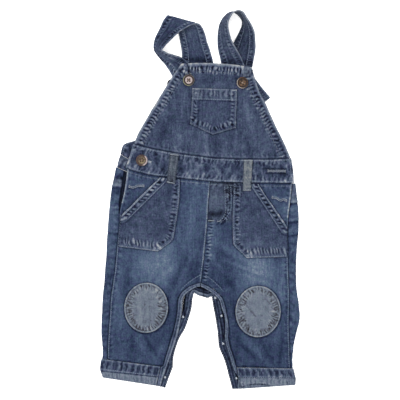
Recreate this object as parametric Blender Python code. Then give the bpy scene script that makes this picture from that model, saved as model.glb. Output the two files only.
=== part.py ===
"""Kids denim dungarees, laid out flat face up, with both shoulder straps looped up from the back.

The garment lies on the ground plane: +X runs to the right leg, +Y from the hems to the straps, +Z up.
The origin is the middle of the garment's footprint. Every table below is in millimetres.
Back pieces rest on the ground, and front pieces lie on them with the seam allowances' height between.
"""
import math

import bmesh
import bpy
import numpy as np
from mathutils import Vector

MM = 0.001                    # the tables are in millimetres, the model is in metres
MIDDLE = (0.56, -0.13)        # the middle of the footprint in the tables' own axes

# ---------------------------------------------------------------- driving sizes
DENIM = 1.2                   # one wall of denim
BAND = 2.4                    # a waistband, placket or strap: the cloth folded on itself
BACK_BAND = 2.2               # the same, pressed flat under the front
STRAP = 2.0
HEM_RISE = 0.9                # how much thicker the bib is along its turned hems
HEM_WIDTH = 13.0
HEM_STEP = 2.0                # the hem's thickness eases out over this width, centred a little inside its end
HEM_INSIDE = 1.5
HEM_ABOVE = 1.0               # the top hem's line runs this far above the bib's higher corner
LEFT_SQUARE = 0.85            # distance square to the bib's slanted side for each millimetre across
RIGHT_SQUARE = 0.93
OPENING_RISE = 0.7            # the doubled edge of a hip pocket's slanted opening
OPENING_WIDTH = 8.0
OPENING_STEP = 1.0
OPENING_INSIDE = 0.5
OPENING_END = 4               # the row of a hip pocket's table where its slanted opening ends
SEAM_GAP = 0.25               # each piece stops this far short of a seam line
LAYER_GAP = 0.45              # between a panel and what is sewn on top of it
LOOP_LIFT = 3.3               # a belt loop clears the waistband and the pocket below it
LOOP_WALL = 1.6
LOOP_BULGE = 0.8
PATCH_WALL = 1.2
BUTTON_RADIUS = 7.8
BUTTON_HEIGHT = 2.9
SPARE_RADIUS = 6.0
SPARE_HEIGHT = 2.4
SPARE_BASE = 1.9
POPPER_RADIUS = 1.6
POPPER_HEIGHT = 1.7

# ---------------------------------------------------------------- how finely each piece is divided
BACK_COLUMNS = 15
BAND_COLUMNS = 21
LEG_COLUMNS = 10
BIB_COLUMNS = 9
BIB_POCKET_COLUMNS = 7
HIP_POCKET_COLUMNS = 5
LOOP_COLUMNS = 3
STRAP_COLUMNS = 4
PLACKET_PLACES = (0.0, 0.5, 1.0)
HEM_PLACES = (5.0, 11.5, 15.5)        # extra columns along the bib's side hems, in millimetres from its sides
BIB_ACROSS = 110.0                    # the bib's width that those are taken out of
OPENING_PLACES = (7.0, 9.0)           # the same, square to a hip pocket's opening
HIP_POCKET_ACROSS = 66.0
BUTTON_SIDES = 20
SPARE_SIDES = 16
POPPER_SIDES = 10
RIM_PLACES = 12                       # places under a button's rim where the bib's height is taken
PATCH_RINGS = 4
PATCH_SIDES = 28
CURL_COUNT = 5                        # sections round a fold
CROWDING = 1.8                        # how much closer together the sections come near a fold
LEG_BACK_COUNT, LEG_FRONT_COUNT = 5, 2
CUFF_BACK_COUNT, CUFF_FRONT_COUNT = 3, 8

# ---------------------------------------------------------------- tables
# Height of the front panels' undersides above the ground, along the garment.
FRONT_LEVEL = (  # y, height
    (-260.0, 3.4),
    (-226.0, 3.4),
    (-200.0, 2.8),
    (-100.0, 2.8),
    (-60.0, 2.5),
    (-20.0, 2.5),
    (8.0, 2.75),
    (80.0, 2.75),
    (98.0, 3.8),
    (124.0, 4.85),
    (200.0, 4.85),
)

# The largest soft folds and the fullness of the legs, as ridges on the front panels.
FOLDS = (  # middle_x, middle_y, direction_degrees, half_length, half_width, height
    (-72.0, -120.0, 88.0, 85.0, 30.0, 1.0),
    (78.0, -122.0, 94.0, 85.0, 30.0, 1.0),
    (62.0, -98.0, -25.0, 38.0, 7.0, 0.9),
    (-64.0, -92.0, 22.0, 34.0, 8.0, 0.6),
    (-42.0, -178.0, 72.0, 30.0, 7.0, 0.7),
    (64.0, -196.0, 112.0, 26.0, 7.0, 0.7),
    (104.0, -186.0, 80.0, 32.0, 8.0, 0.7),
    (-108.0, -170.0, 86.0, 34.0, 7.0, 0.6),
    (-6.0, 92.0, 80.0, 30.0, 13.0, 0.6),
    (72.0, 84.0, 66.0, 30.0, 12.0, 0.6),
)

# Front waistband: its top and bottom seams across the front, and its two ends.
WAIST_SEAMS = (  # x, top_y, bottom_y
    (-100.0, 78.5, 42.5),
    (-88.0, 75.0, 38.5),
    (-69.0, 70.0, 33.5),
    (-45.0, 65.0, 30.5),
    (-26.0, 62.0, 28.5),
    (0.0, 58.5, 26.0),
    (14.0, 57.0, 24.5),
    (45.0, 55.0, 23.0),
    (71.0, 54.5, 22.5),
    (99.0, 54.5, 22.0),
    (128.0, 56.5, 22.0),
)
WAIST_ENDS = (  # left_x, right_x at the top seam, half way and at the bottom seam
    (-89.5, 124.0),
    (-94.5, 126.5),
    (-100.0, 128.0),
)

# Back waistband, hidden but for its left end beside the side opening.
BACK_WAIST_SEAMS = (  # x, top_y, bottom_y
    (-113.0, 66.0, 44.5),
    (-100.0, 57.0, 38.5),
    (-60.0, 50.0, 30.5),
    (0.0, 48.0, 20.5),
    (60.0, 49.0, 18.5),
    (126.0, 54.0, 20.0),
)
BACK_WAIST_ENDS = (  # left_x, right_x
    (-106.5, 121.5),
    (-109.5, 123.5),
    (-111.5, 125.0),
)

FRONT_BIB = (  # left_x, left_y, right_x, right_y, bow
    (-24.5, 183.5, 71.0, 178.5, 3.0),
    (-30.5, 175.0, 72.5, 172.0, 1.5),
    (-36.5, 166.5, 75.0, 163.5, 0.5),
    (-48.5, 147.0, 81.5, 144.5, 0.0),
    (-60.5, 128.0, 90.0, 128.0, 0.0),
    (-69.5, 112.5, 97.0, 112.0, 0.0),
    (-78.0, 98.0, 104.0, 97.0, -2.0),
    (-83.5, 88.0, 112.0, 81.0, -4.5),
    (-88.5, 76.0, 123.0, 57.0, -8.5),
)
BACK_BIB = (  # left_x, left_y, right_x, right_y, bow
    (-29.0, 124.0, 72.0, 124.0, 0.0),
    (-46.5, 106.5, 86.5, 106.0, 0.0),
    (-67.0, 89.0, 98.0, 88.5, 0.0),
    (-84.5, 80.5, 108.5, 77.5, 0.0),
    (-95.0, 77.5, 114.0, 71.0, -2.5),
    (-103.5, 73.5, 118.5, 65.0, -6.0),
    (-107.0, 63.0, 121.0, 56.0, -9.5),
)

# Legs, a row for each section from the waist seam down to the cuff:
# fold is the outer edge of the flat leg, side the side seam, which lies on the front, seam the inner edge
# of the front panel, back the inner edge of the back panel, and opening the gape of the side opening.
HIP_L = (  # fold_x, fold_y, side_x, side_y, opening, seam_x, seam_y, back_x, back_y
    (-112.5, 41.0, -97.5, 40.0, 4.0, 14.3, 24.0, 7.5, 20.0),
    (-116.0, 27.5, -99.5, 25.0, 4.6, 13.0, 9.0, 7.5, 4.5),
    (-119.0, 13.0, -102.0, 9.0, 4.2, 11.5, -9.0, 7.5, -10.0),
    (-121.0, -4.5, -105.5, -6.0, 2.8, 10.5, -29.0, 7.0, -27.5),
    (-122.5, -21.0, -108.0, -19.5, 0.0, 8.5, -52.0, 7.0, -52.0),
    (-123.5, -37.0, -108.5, -36.0, 0.0, 6.5, -72.0, 6.0, -71.0),
    (-125.0, -57.5, -110.5, -56.0, 0.0, 4.3, -92.5, 5.5, -92.5),
    (-126.0, -77.5, -112.5, -76.5, 0.0, 2.6, -105.5, 5.0, -108.5),
)
HIP_R = (
    (129.5, 19.0, 125.0, 20.0, 0.0, 14.3, 24.0, 7.5, 20.0),
    (131.5, 5.0, 123.5, 6.0, 0.0, 13.0, 9.0, 7.5, 4.5),
    (133.0, -10.0, 121.5, -10.0, 0.0, 11.5, -9.0, 7.5, -10.0),
    (134.0, -25.0, 119.5, -26.5, 0.0, 10.5, -29.0, 7.0, -27.5),
    (133.5, -45.0, 119.0, -46.5, 0.0, 8.5, -52.0, 7.0, -52.0),
    (131.5, -65.5, 119.5, -67.0, 0.0, 6.5, -72.0, 6.0, -71.0),
    (130.5, -87.0, 119.5, -87.0, 0.0, 4.3, -92.5, 5.5, -92.5),
    (130.5, -106.0, 120.0, -103.5, 0.0, 2.6, -105.5, 5.0, -108.5),
)
# From the crotch down each inner edge carries a placket: edge is the front one's free edge, rim the back one's.
LEG_L = (  # fold_x, fold_y, side_x, side_y, seam_x, seam_y, edge_x, edge_y, back_x, back_y, rim_x, rim_y
    (-127.5, -95.0, -114.0, -94.0, 1.6, -111.8, 1.2, -117.8, 5.0, -115.5, 5.0, -131.5),
    (-128.5, -109.0, -116.0, -107.5, -4.0, -112.8, -3.0, -118.0, -1.5, -117.0, -1.5, -129.5),
    (-129.5, -120.0, -117.5, -118.0, -12.8, -116.3, -11.0, -122.0, -9.0, -119.5, -7.0, -126.5),
    (-130.5, -129.5, -119.0, -127.5, -20.5, -121.5, -17.0, -126.5, -16.0, -124.5, -8.5, -130.5),
    (-131.0, -138.0, -120.0, -136.5, -26.0, -127.3, -21.0, -131.0, -21.0, -131.5, -9.5, -135.5),
    (-131.5, -147.5, -120.5, -145.0, -29.3, -135.3, -23.0, -137.0, -23.0, -145.0, -11.0, -148.0),
    (-132.0, -159.0, -121.0, -156.0, -30.3, -148.0, -23.5, -149.0, -25.3, -160.0, -15.0, -161.5),
    (-132.5, -170.0, -122.0, -167.5, -31.8, -160.0, -25.2, -161.0, -29.3, -172.0, -20.0, -175.0),
    (-132.5, -182.0, -122.8, -180.0, -35.3, -176.0, -28.5, -178.5, -34.8, -184.5, -27.0, -187.0),
    (-131.5, -194.0, -123.6, -192.5, -39.8, -191.8, -33.0, -194.5, -39.2, -196.5, -31.5, -199.0),
    (-130.5, -205.0, -124.0, -204.0, -45.3, -210.0, -39.5, -212.5, -44.3, -211.5, -35.0, -212.5),
    (-131.5, -214.0, -124.0, -215.0, -49.8, -224.5, -44.3, -226.8, -46.3, -224.5, -36.0, -227.0),
)
LEG_R = (
    (131.0, -119.5, 120.5, -115.5, 1.6, -111.8, 2.0, -117.8, 5.0, -115.5, 5.0, -131.5),
    (132.5, -130.0, 121.0, -125.0, 8.6, -114.8, 6.8, -120.0, 11.5, -117.5, 11.0, -133.0),
    (134.0, -141.0, 121.0, -134.5, 15.8, -118.8, 13.5, -124.0, 19.0, -121.0, 16.0, -131.0),
    (135.0, -150.5, 121.0, -144.0, 24.3, -125.0, 21.0, -129.5, 26.8, -127.3, 17.0, -135.0),
    (135.0, -160.0, 120.8, -152.0, 31.3, -133.0, 27.0, -136.5, 30.8, -137.3, 18.0, -142.5),
    (134.0, -168.0, 120.6, -160.0, 34.8, -143.5, 29.7, -146.5, 34.3, -152.0, 20.0, -152.5),
    (132.0, -175.0, 120.6, -168.0, 37.0, -153.3, 32.8, -155.0, 36.3, -164.0, 22.0, -164.0),
    (130.5, -182.0, 120.7, -176.0, 39.0, -164.3, 34.2, -164.5, 36.8, -176.0, 24.0, -177.0),
    (128.5, -190.0, 121.0, -187.0, 40.0, -176.3, 34.7, -176.0, 36.8, -187.0, 25.0, -188.5),
    (127.0, -198.0, 121.4, -196.5, 39.5, -187.0, 34.2, -187.5, 38.8, -198.0, 26.5, -200.0),
    (126.2, -206.0, 121.7, -204.5, 41.8, -198.3, 36.6, -199.5, 43.5, -210.0, 31.5, -211.5),
    (125.5, -215.0, 121.9, -214.0, 45.8, -210.3, 40.6, -212.0, 48.3, -222.0, 35.5, -223.0),
    (126.0, -226.8, 122.6, -226.6, 50.0, -225.0, 44.8, -225.8, 50.5, -227.8, 37.0, -229.0),
)
# Turn-ups, from their top edge to the bottom fold; end is where the front layer stops, beside the placket.
CUFF_L = (  # fold_x, fold_y, end_x, end_y, edge_x, edge_y, back_x, back_y, rim_x, rim_y, wall
    (-132.5, -214.8, -52.6, -225.2, -44.8, -228.0, -46.8, -225.4, -36.5, -227.5, 2.9),
    (-133.4, -223.5, -54.0, -231.5, -46.8, -233.5, -48.6, -232.0, -38.7, -234.0, 2.5),
    (-134.0, -230.5, -55.5, -238.5, -49.0, -239.5, -50.0, -239.5, -41.5, -241.0, 2.1),
    (-133.0, -233.5, -56.2, -241.5, -50.0, -242.5, -50.6, -242.5, -42.6, -244.0, 2.6),
    (-130.5, -240.5, -58.0, -250.5, -52.3, -251.6, -53.8, -252.3, -46.0, -254.0, 2.6),
)
CUFF_R = (
    (126.8, -228.0, 50.6, -226.6, 45.2, -227.2, 52.0, -228.8, 37.6, -230.0, 2.9),
    (128.6, -234.0, 51.5, -233.5, 46.8, -231.0, 54.0, -235.5, 38.8, -236.0, 2.5),
    (129.8, -240.0, 52.4, -239.5, 48.3, -233.4, 55.6, -242.0, 40.6, -242.5, 2.1),
    (130.0, -243.0, 52.4, -242.5, 48.6, -234.2, 56.2, -245.5, 41.6, -246.0, 2.6),
    (129.5, -250.5, 51.6, -255.3, 49.0, -235.0, 57.8, -255.6, 44.0, -255.8, 2.6),
)

HIP_POCKET_L = (  # left_x, left_y, right_x, right_y: the slanted opening runs down the first five left ends
    (-53.5, 29.8, -26.0, 27.3),
    (-67.0, 17.0, -26.5, 12.0),
    (-80.5, 4.0, -27.5, -2.0),
    (-93.0, -9.0, -29.0, -15.5),
    (-105.0, -21.5, -31.0, -29.0),
    (-107.3, -38.5, -33.5, -44.0),
    (-108.0, -52.0, -36.5, -55.0),
    (-108.6, -58.0, -46.0, -63.0),
    (-109.2, -63.5, -56.5, -70.0),
)
HIP_POCKET_R = (  # the slanted opening runs down the first five right ends
    (46.0, 22.0, 79.5, 21.2),
    (45.5, 7.5, 89.5, 5.0),
    (45.0, -7.5, 99.5, -9.0),
    (44.5, -22.5, 109.5, -23.5),
    (44.5, -37.0, 118.2, -37.5),
    (45.0, -49.5, 118.2, -52.0),
    (46.0, -61.0, 118.6, -63.5),
    (54.5, -70.0, 118.8, -70.0),
    (64.0, -79.0, 118.8, -77.5),
)
BIB_POCKET = (  # left_x, left_y, right_x, right_y, drop of the pointed bottom
    (-9.5, 150.5, 50.5, 148.5, 0.0),
    (-10.5, 135.0, 50.5, 133.0, 0.0),
    (-11.5, 118.0, 49.5, 115.0, -3.5),
    (-13.0, 102.0, 49.0, 96.5, -12.0),
)
BELT_LOOPS = {  # left_x, left_y, right_x, right_y, from the top end down
    "belt_loop_l": (
        (-40.0, 62.5, -27.5, 61.0),
        (-41.5, 49.5, -29.5, 47.5),
        (-43.0, 36.0, -31.0, 34.0),
        (-44.5, 22.5, -33.0, 20.5),
    ),
    "belt_loop_r": (
        (59.5, 54.0, 72.0, 53.5),
        (59.5, 40.0, 71.0, 39.5),
        (58.5, 25.0, 70.0, 24.5),
        (58.5, 11.5, 69.5, 11.5),
    ),
}

KNEE_PATCHES = {  # middle_x, middle_y, half_width, half_height, lean_degrees
    "knee_patch_l": (-72.0, -146.0, 29.5, 33.8, -4.0),
    "knee_patch_r": (79.0, -151.0, 30.5, 34.6, -4.0),
}

# Straps, a row for each section from the seam on the back bib round the loop to the buttonhole end:
# hold is the strap's edge that stays near the ground, free the edge that stands up round the loop.
STRAP_R = (  # hold_x, hold_y, hold_z, free_x, free_y, free_z
    (25.0, 118.0, 2.7, 61.5, 118.0, 2.7),
    (26.0, 125.5, 2.7, 62.8, 125.5, 2.7),
    (27.5, 134.0, 1.3, 64.3, 133.0, 1.3),
    (29.5, 145.0, 1.0, 66.5, 143.0, 1.0),
    (31.5, 161.5, 1.0, 69.0, 158.5, 1.0),
    (34.5, 180.0, 1.0, 71.0, 176.0, 1.0),
    (38.5, 196.5, 1.0, 73.5, 189.5, 1.6),
    (44.5, 209.0, 1.0, 75.5, 202.0, 8.5),
    (50.0, 219.5, 0.3, 75.0, 214.0, 18.0),
    (54.5, 228.0, 0.3, 73.5, 226.0, 23.5),
    (57.5, 235.5, 0.3, 69.5, 235.0, 26.0),
    (57.5, 241.5, 0.3, 63.5, 244.5, 27.5),
    (54.5, 246.5, 0.3, 58.5, 252.0, 28.0),
    (50.5, 250.5, 0.3, 52.5, 254.3, 28.0),
    (46.0, 253.0, 0.3, 46.8, 252.5, 28.0),
    (40.0, 252.3, 0.3, 43.0, 248.5, 27.5),
    (34.0, 247.5, 0.3, 40.0, 243.0, 27.0),
    (29.5, 241.5, 0.3, 38.5, 238.0, 26.5),
    (26.5, 234.0, 0.3, 38.3, 231.5, 26.0),
    (24.7, 222.0, 1.1, 40.0, 224.0, 24.5),
    (24.4, 212.5, 1.2, 42.5, 216.0, 22.0),
    (25.0, 203.0, 1.6, 46.0, 209.5, 18.0),
    (27.0, 193.5, 2.6, 50.5, 202.0, 12.5),
    (29.5, 183.0, 3.3, 56.0, 192.5, 4.2),
    (35.0, 170.0, 3.4, 61.5, 179.5, 3.4),
    (42.5, 159.0, 3.4, 65.5, 173.5, 3.4),
    (53.0, 147.5, 3.4, 74.0, 164.5, 3.4),
    (65.5, 131.5, 3.3, 87.0, 148.0, 2.6),
    (74.5, 121.0, 3.0, 96.0, 137.5, 1.6),
)
STRAP_L = (
    (-15.5, 118.0, 2.7, 20.0, 118.0, 2.7),
    (-16.3, 125.5, 2.7, 20.0, 125.5, 2.7),
    (-17.2, 134.0, 1.3, 20.0, 134.0, 1.3),
    (-18.0, 145.0, 1.0, 20.0, 145.0, 1.0),
    (-20.0, 164.0, 1.0, 19.5, 162.5, 1.0),
    (-23.0, 185.5, 1.0, 18.5, 185.0, 1.0),
    (-24.5, 202.0, 1.0, 14.0, 202.5, 1.0),
    (-26.5, 214.0, 1.0, 10.5, 212.5, 1.6),
    (-29.5, 228.0, 1.0, 8.0, 222.0, 3.2),
    (-35.0, 239.5, 1.0, 5.5, 229.0, 5.2),
    (-41.0, 246.0, 1.4, 2.5, 234.0, 7.5),
    (-43.0, 248.3, 2.8, -1.0, 236.5, 9.4),
    (-44.5, 247.5, 4.2, -5.5, 236.5, 10.2),
    (-47.5, 244.0, 4.6, -11.5, 235.0, 10.0),
    (-50.5, 238.5, 4.4, -18.0, 231.5, 10.0),
    (-53.5, 231.5, 3.6, -25.5, 227.0, 12.5),
    (-56.5, 225.5, 2.6, -32.5, 221.0, 17.0),
    (-59.5, 219.0, 1.8, -39.0, 214.5, 21.0),
    (-61.3, 212.5, 1.2, -45.0, 208.5, 23.5),
    (-61.8, 207.0, 1.0, -49.5, 203.0, 25.5),
    (-61.0, 201.5, 1.0, -50.5, 200.5, 26.5),
    (-58.0, 196.5, 1.0, -47.5, 199.0, 26.3),
    (-53.0, 190.0, 1.0, -41.0, 196.0, 24.5),
    (-47.5, 183.5, 1.2, -33.0, 194.0, 18.5),
    (-43.7, 177.7, 1.3, -27.5, 193.0, 11.0),
    (-40.0, 172.0, 1.9, -22.0, 190.5, 4.2),
    (-36.5, 166.5, 2.9, -17.0, 186.5, 3.6),
    (-27.0, 156.0, 3.3, -6.0, 174.0, 3.4),
    (-19.0, 146.5, 3.4, 2.0, 163.5, 3.4),
)

BIB_BUTTONS = {"bib_button_l": (-14.5, 161.0), "bib_button_r": (58.0, 157.5)}
WAIST_BUTTON = (-78.0, 53.0)
SPARE_BUTTON = (-37.8, 156.5)
POPPERS = {
    "popper_crotch": (21.3, -132.7),
    "popper_l_1": (-22.2, -158.5),
    "popper_l_2": (-46.6, -239.8),
    "popper_r_1": (29.8, -157.0),
    "popper_r_2": (32.0, -194.5),
    "popper_r_3": (50.0, -241.3),
}
BUTTON_PROFILE = (  # radius and height, as parts of the button's own, from the middle of the top outwards
    (0.0, 0.66),
    (0.55, 0.66),
    (0.68, 0.98),
    (0.86, 1.0),
    (0.98, 0.72),
    (1.0, 0.36),
    (0.82, 0.04),
    (0.0, 0.0),
)
POPPER_PROFILE = (
    (0.0, 1.0),
    (0.55, 0.86),
    (0.95, 0.4),
    (1.0, 0.0),
    (0.0, 0.0),
)

DENIM_BLUE = (0.065, 0.10, 0.19, 1.0)
DENIM_DARK = (0.05, 0.075, 0.15, 1.0)
DENIM_GREY = (0.21, 0.25, 0.31, 1.0)
HORN_BROWN = (0.16, 0.09, 0.05, 1.0)
HORN_PINK = (0.55, 0.40, 0.34, 1.0)
STEEL = (0.75, 0.76, 0.78, 1.0)
CLOTH_ROUGH = 0.9
HORN_ROUGH = 0.35
STEEL_ROUGH = 0.25


# ---------------------------------------------------------------- numbers
def ease(t):
    """0 to 1 with soft ends."""
    t = np.clip(t, 0.0, 1.0)
    return t * t * (3.0 - 2.0 * t)


def through(table, steps):
    """A smooth curve through the table's rows, with steps spans from each row to the next."""
    rows = np.asarray(table, dtype=float)
    before = np.vstack([2.0 * rows[0] - rows[1], rows[:-1]])
    after = np.vstack([rows[1:], 2.0 * rows[-1] - rows[-2]])
    slope = (after - before) / 2.0
    out = []
    for i in range(len(rows) - 1):
        for t in np.arange(steps) / steps:
            out.append(
                (2.0 * t**3 - 3.0 * t**2 + 1.0) * rows[i]
                + (t**3 - 2.0 * t**2 + t) * slope[i]
                + (3.0 * t**2 - 2.0 * t**3) * rows[i + 1]
                + (t**3 - t**2) * slope[i + 1]
            )
    out.append(rows[-1])
    return np.array(out)


def level(table, column, x):
    """The value in a column of a table whose first column is x, eased from row to row."""
    rows = np.asarray(table, dtype=float)
    slopes = np.gradient(rows[:, column], rows[:, 0])
    i = int(np.clip(np.searchsorted(rows[:, 0], x) - 1, 0, len(rows) - 2))
    width = rows[i + 1, 0] - rows[i, 0]
    t = (x - rows[i, 0]) / width
    return (
        (2.0 * t**3 - 3.0 * t**2 + 1.0) * rows[i, column]
        + (t**3 - 2.0 * t**2 + t) * width * slopes[i]
        + (3.0 * t**2 - 2.0 * t**3) * rows[i + 1, column]
        + (t**3 - t**2) * width * slopes[i + 1]
    )


def front_height(x, y):
    """Height of the underside of the front panels at a place."""
    heights = np.asarray(FRONT_LEVEL)
    z = float(np.interp(y, heights[:, 0], heights[:, 1]))
    for middle_x, middle_y, direction, half_length, half_width, height in FOLDS:
        turn = math.radians(direction)
        along = (x - middle_x) * math.cos(turn) + (y - middle_y) * math.sin(turn)
        across = (y - middle_y) * math.cos(turn) - (x - middle_x) * math.sin(turn)
        z += height * math.exp(-((along / half_length) ** 2) - (across / half_width) ** 2)
    return z


def between(a, b, t):
    return a + (b - a) * t


def shares(count, left_bands=(), right_bands=(), width=1.0):
    """Places across a section, 0 to 1: even ones between the bands, whose widths are in millimetres."""
    left = [band / width for band in left_bands]
    right = [1.0 - band / width for band in right_bands]
    start = max(left) if left else 0.0
    end = min(right) if right else 1.0
    inner = list(np.linspace(start, end, count))
    return sorted(set([0.0, 1.0] + left + right + inner))


def placed(point):
    """A point of the tables in the model's own frame: metres, from the middle of the footprint."""
    return Vector((point[0] - MIDDLE[0], point[1] - MIDDLE[1], max(point[2], 0.0))) * MM


# ---------------------------------------------------------------- solids
def material(name, colour, roughness, metallic=0.0):
    result = bpy.data.materials.new(name)
    result.use_nodes = True
    shader = result.node_tree.nodes["Principled BSDF"]
    shader.inputs["Base Color"].default_value = colour
    shader.inputs["Roughness"].default_value = roughness
    shader.inputs["Metallic"].default_value = metallic
    result.diffuse_color = colour
    return result


def add_object(name, mesh_data, finish, smooth=False):
    """One closed body facing out, as an object with its own material."""
    mesh = bpy.data.meshes.new(name)
    bmesh.ops.recalc_face_normals(mesh_data, faces=mesh_data.faces)
    mesh_data.to_mesh(mesh)
    mesh_data.free()
    if smooth:
        mesh.shade_smooth()
        mesh.set_sharp_from_angle(angle=math.radians(35.0))
    mesh.materials.append(material(name, *finish))
    result = bpy.data.objects.new(name, mesh)
    bpy.context.collection.objects.link(result)
    return result


def wall(name, inside, outside, finish):
    """A wall of cloth between two matching grids of points, closed all round its edge."""
    rows, columns = len(inside), len(inside[0])
    data = bmesh.new()
    low = [[data.verts.new(placed(p)) for p in row] for row in inside]
    high = [[data.verts.new(placed(p)) for p in row] for row in outside]
    for grid in (low, high):
        for i in range(rows - 1):
            for j in range(columns - 1):
                data.faces.new((grid[i][j], grid[i][j + 1], grid[i + 1][j + 1], grid[i + 1][j]))
    rim = [(0, j) for j in range(columns)] + [(i, columns - 1) for i in range(1, rows)]
    rim += [(rows - 1, j) for j in range(columns - 2, -1, -1)] + [(i, 0) for i in range(rows - 2, 0, -1)]
    for (a, b), (c, d) in zip(rim, rim[1:] + rim[:1]):
        data.faces.new((low[a][b], low[c][d], high[c][d], high[a][b]))
    return add_object(name, data, finish)


def inset(line, inner, gap):
    """Moves a seam line square to itself by the gap, to the side where the inner points lie."""
    line, inner = np.array(line, dtype=float), np.array(inner, dtype=float)
    along = np.gradient(line, axis=0)
    square = np.column_stack([along[:, 1], -along[:, 0]])
    square /= np.linalg.norm(square, axis=1, keepdims=True)
    side = np.sign(np.sum(square * (inner - line), axis=1, keepdims=True))
    return line + square * side * gap


def pull_in(grid, gap=SEAM_GAP):
    """Moves the edges of a flat grid inwards, so that the piece stops short of its seams."""
    points = np.array(grid, dtype=float)
    points[:, 0] = inset(points[:, 0], points[:, 1], gap)
    points[:, -1] = inset(points[:, -1], points[:, -2], gap)
    points[0] = inset(points[0], points[1], gap)
    points[-1] = inset(points[-1], points[-2], gap)
    return points


def flat_grid(sections, places, pointed=False):
    """Plan points of a panel: across each section from its left to its right end, with its bow."""
    grid = []
    for row in sections:
        left, right = np.array(row[:2]), np.array(row[2:4])
        bow = row[4] if len(row) > 4 else 0.0
        points = []
        for u in places:
            lift = 1.0 - abs(2.0 * u - 1.0) ** (1.0 if pointed else 2.0)
            points.append(between(left, right, u) + np.array((0.0, bow * lift)))
        grid.append(points)
    return pull_in(grid)


def panel(name, grid, finish, base, thickness):
    """A panel over plan points; base and thickness give its underside and its wall there."""
    inside, outside = [], []
    for row in grid:
        heights = [(base(x, y), thickness(x, y)) for x, y in row]
        inside.append([(x, y, z) for (x, y), (z, _) in zip(row, heights)])
        outside.append([(x, y, z + t) for (x, y), (z, t) in zip(row, heights)])
    return wall(name, inside, outside, finish)


def steady(value):
    return lambda x, y: value


def on_front(offset):
    return lambda x, y: front_height(x, y) + offset


def wrap_section(back, fold, end, wall_t, back_count, front_count, seam=None):
    """One section of a piece that lies on the ground, curls up round the outer edge and comes back on top.

    back is the inner end on the ground, fold the outer edge, end where the top layer stops.
    seam gives the y of a seam at x, where the section follows one.
    """
    rise = front_height(end[0], end[1])
    radius = (rise + wall_t) / 2.0
    under = np.array(back) - np.array(fold)
    over = np.array(end) - np.array(fold)
    under_length, over_length = np.linalg.norm(under), np.linalg.norm(over)
    under_way, over_way = under / under_length, over / over_length
    inside, outside = [], []

    def add(way, distance, z_in, z_out, extra_in=0.0):
        for store, z, extra in ((inside, z_in, extra_in), (outside, z_out, 0.0)):
            x, y = np.array(fold) + way * (distance + extra)
            store.append((x, seam(x) if seam else y, z))

    for share in np.linspace(1.0, 0.0, back_count, endpoint=False):
        add(under_way, between(radius, under_length, share**CROWDING), wall_t, 0.0)
    for angle in np.linspace(-90.0, 90.0, CURL_COUNT):
        turn = math.radians(angle)
        way = under_way if angle < 0.0 else over_way
        add(
            way,
            radius * (1.0 - math.cos(turn)),
            radius + (radius - wall_t) * math.sin(turn),
            radius * (1.0 + math.sin(turn)),
            wall_t * math.cos(turn),
        )
    for distance in np.linspace(radius, over_length, front_count + 1)[1:]:
        x, y = np.array(fold) + over_way * distance
        z = front_height(x, y)
        add(over_way, distance, z, z + wall_t)
    return inside, outside


def shorten(inside, outside, both_ends):
    """Draws a wrapped piece's last section, or both end sections, in by the seam gap."""
    grids = np.array(inside, dtype=float), np.array(outside, dtype=float)
    for edge, inner in ((-1, -2), (0, 1)) if both_ends else ((-1, -2),):
        for grid in grids:
            step = grid[inner] - grid[edge]
            grid[edge] += step / np.linalg.norm(step, axis=1, keepdims=True) * SEAM_GAP
    return grids


def ribbon(name, table, steps, finish):
    """A strap: a flat band swept through its sections, each from its hold edge to its free edge."""
    rows = through(table, steps)
    hold, free = rows[:, :3], rows[:, 3:]
    across = free - hold
    along = np.gradient((hold + free) / 2.0, axis=0)
    normal = np.cross(across, along)
    normal /= np.linalg.norm(normal, axis=1, keepdims=True)
    inside, outside = [], []
    for i in range(len(rows)):
        points = [hold[i] + across[i] * u for u in np.linspace(0.0, 1.0, STRAP_COLUMNS)]
        inside.append([p - normal[i] * STRAP / 2.0 for p in points])
        outside.append([p + normal[i] * STRAP / 2.0 for p in points])
    return wall(name, inside, outside, finish)


def turned(name, middle, base, radius, height, profile, sides, finish):
    """A button or popper: a profile turned about its own upright axis."""
    data = bmesh.new()
    points = [Vector((r * radius, 0.0, h * height)) * MM for r, h in profile]
    verts = [data.verts.new(p) for p in points]
    edges = [data.edges.new(pair) for pair in zip(verts, verts[1:])]
    bmesh.ops.spin(
        data,
        geom=verts + edges,
        cent=(0.0, 0.0, 0.0),
        axis=(0.0, 0.0, 1.0),
        dvec=(0.0, 0.0, 0.0),
        angle=2.0 * math.pi,
        steps=sides,
        use_merge=False,
    )
    bmesh.ops.remove_doubles(data, verts=data.verts, dist=0.01 * MM)
    result = add_object(name, data, finish, smooth=True)
    result.location = placed((middle[0], middle[1], base))
    return result


# ---------------------------------------------------------------- back
def back_bib():
    grid = flat_grid(through(BACK_BIB, 1), np.linspace(0.0, 1.0, BACK_COLUMNS))
    for point, below in zip(grid[-1], band_grid(BACK_WAIST_SEAMS, BACK_WAIST_ENDS, BACK_COLUMNS)[0]):
        point[:] = (below[0], below[1] + 2.0 * SEAM_GAP)
    panel("back_bib", grid, (DENIM_DARK, CLOTH_ROUGH), steady(0.0), steady(DENIM))


def band_grid(seams, ends, columns):
    """Plan points of a waistband between its top and bottom seams."""
    grid = []
    for v, (left, right) in zip(np.linspace(0.0, 1.0, len(ends)), ends):
        row = []
        for x in np.linspace(left + SEAM_GAP, right - SEAM_GAP, columns):
            top = level(seams, 1, x) - SEAM_GAP
            bottom = level(seams, 2, x) + SEAM_GAP
            row.append((x, between(top, bottom, v)))
        grid.append(row)
    return grid


def back_waistband():
    grid = band_grid(BACK_WAIST_SEAMS, BACK_WAIST_ENDS, BACK_COLUMNS)
    panel("back_waistband", grid, (DENIM_DARK, CLOTH_ROUGH), steady(0.0), steady(BACK_BAND))


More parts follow.
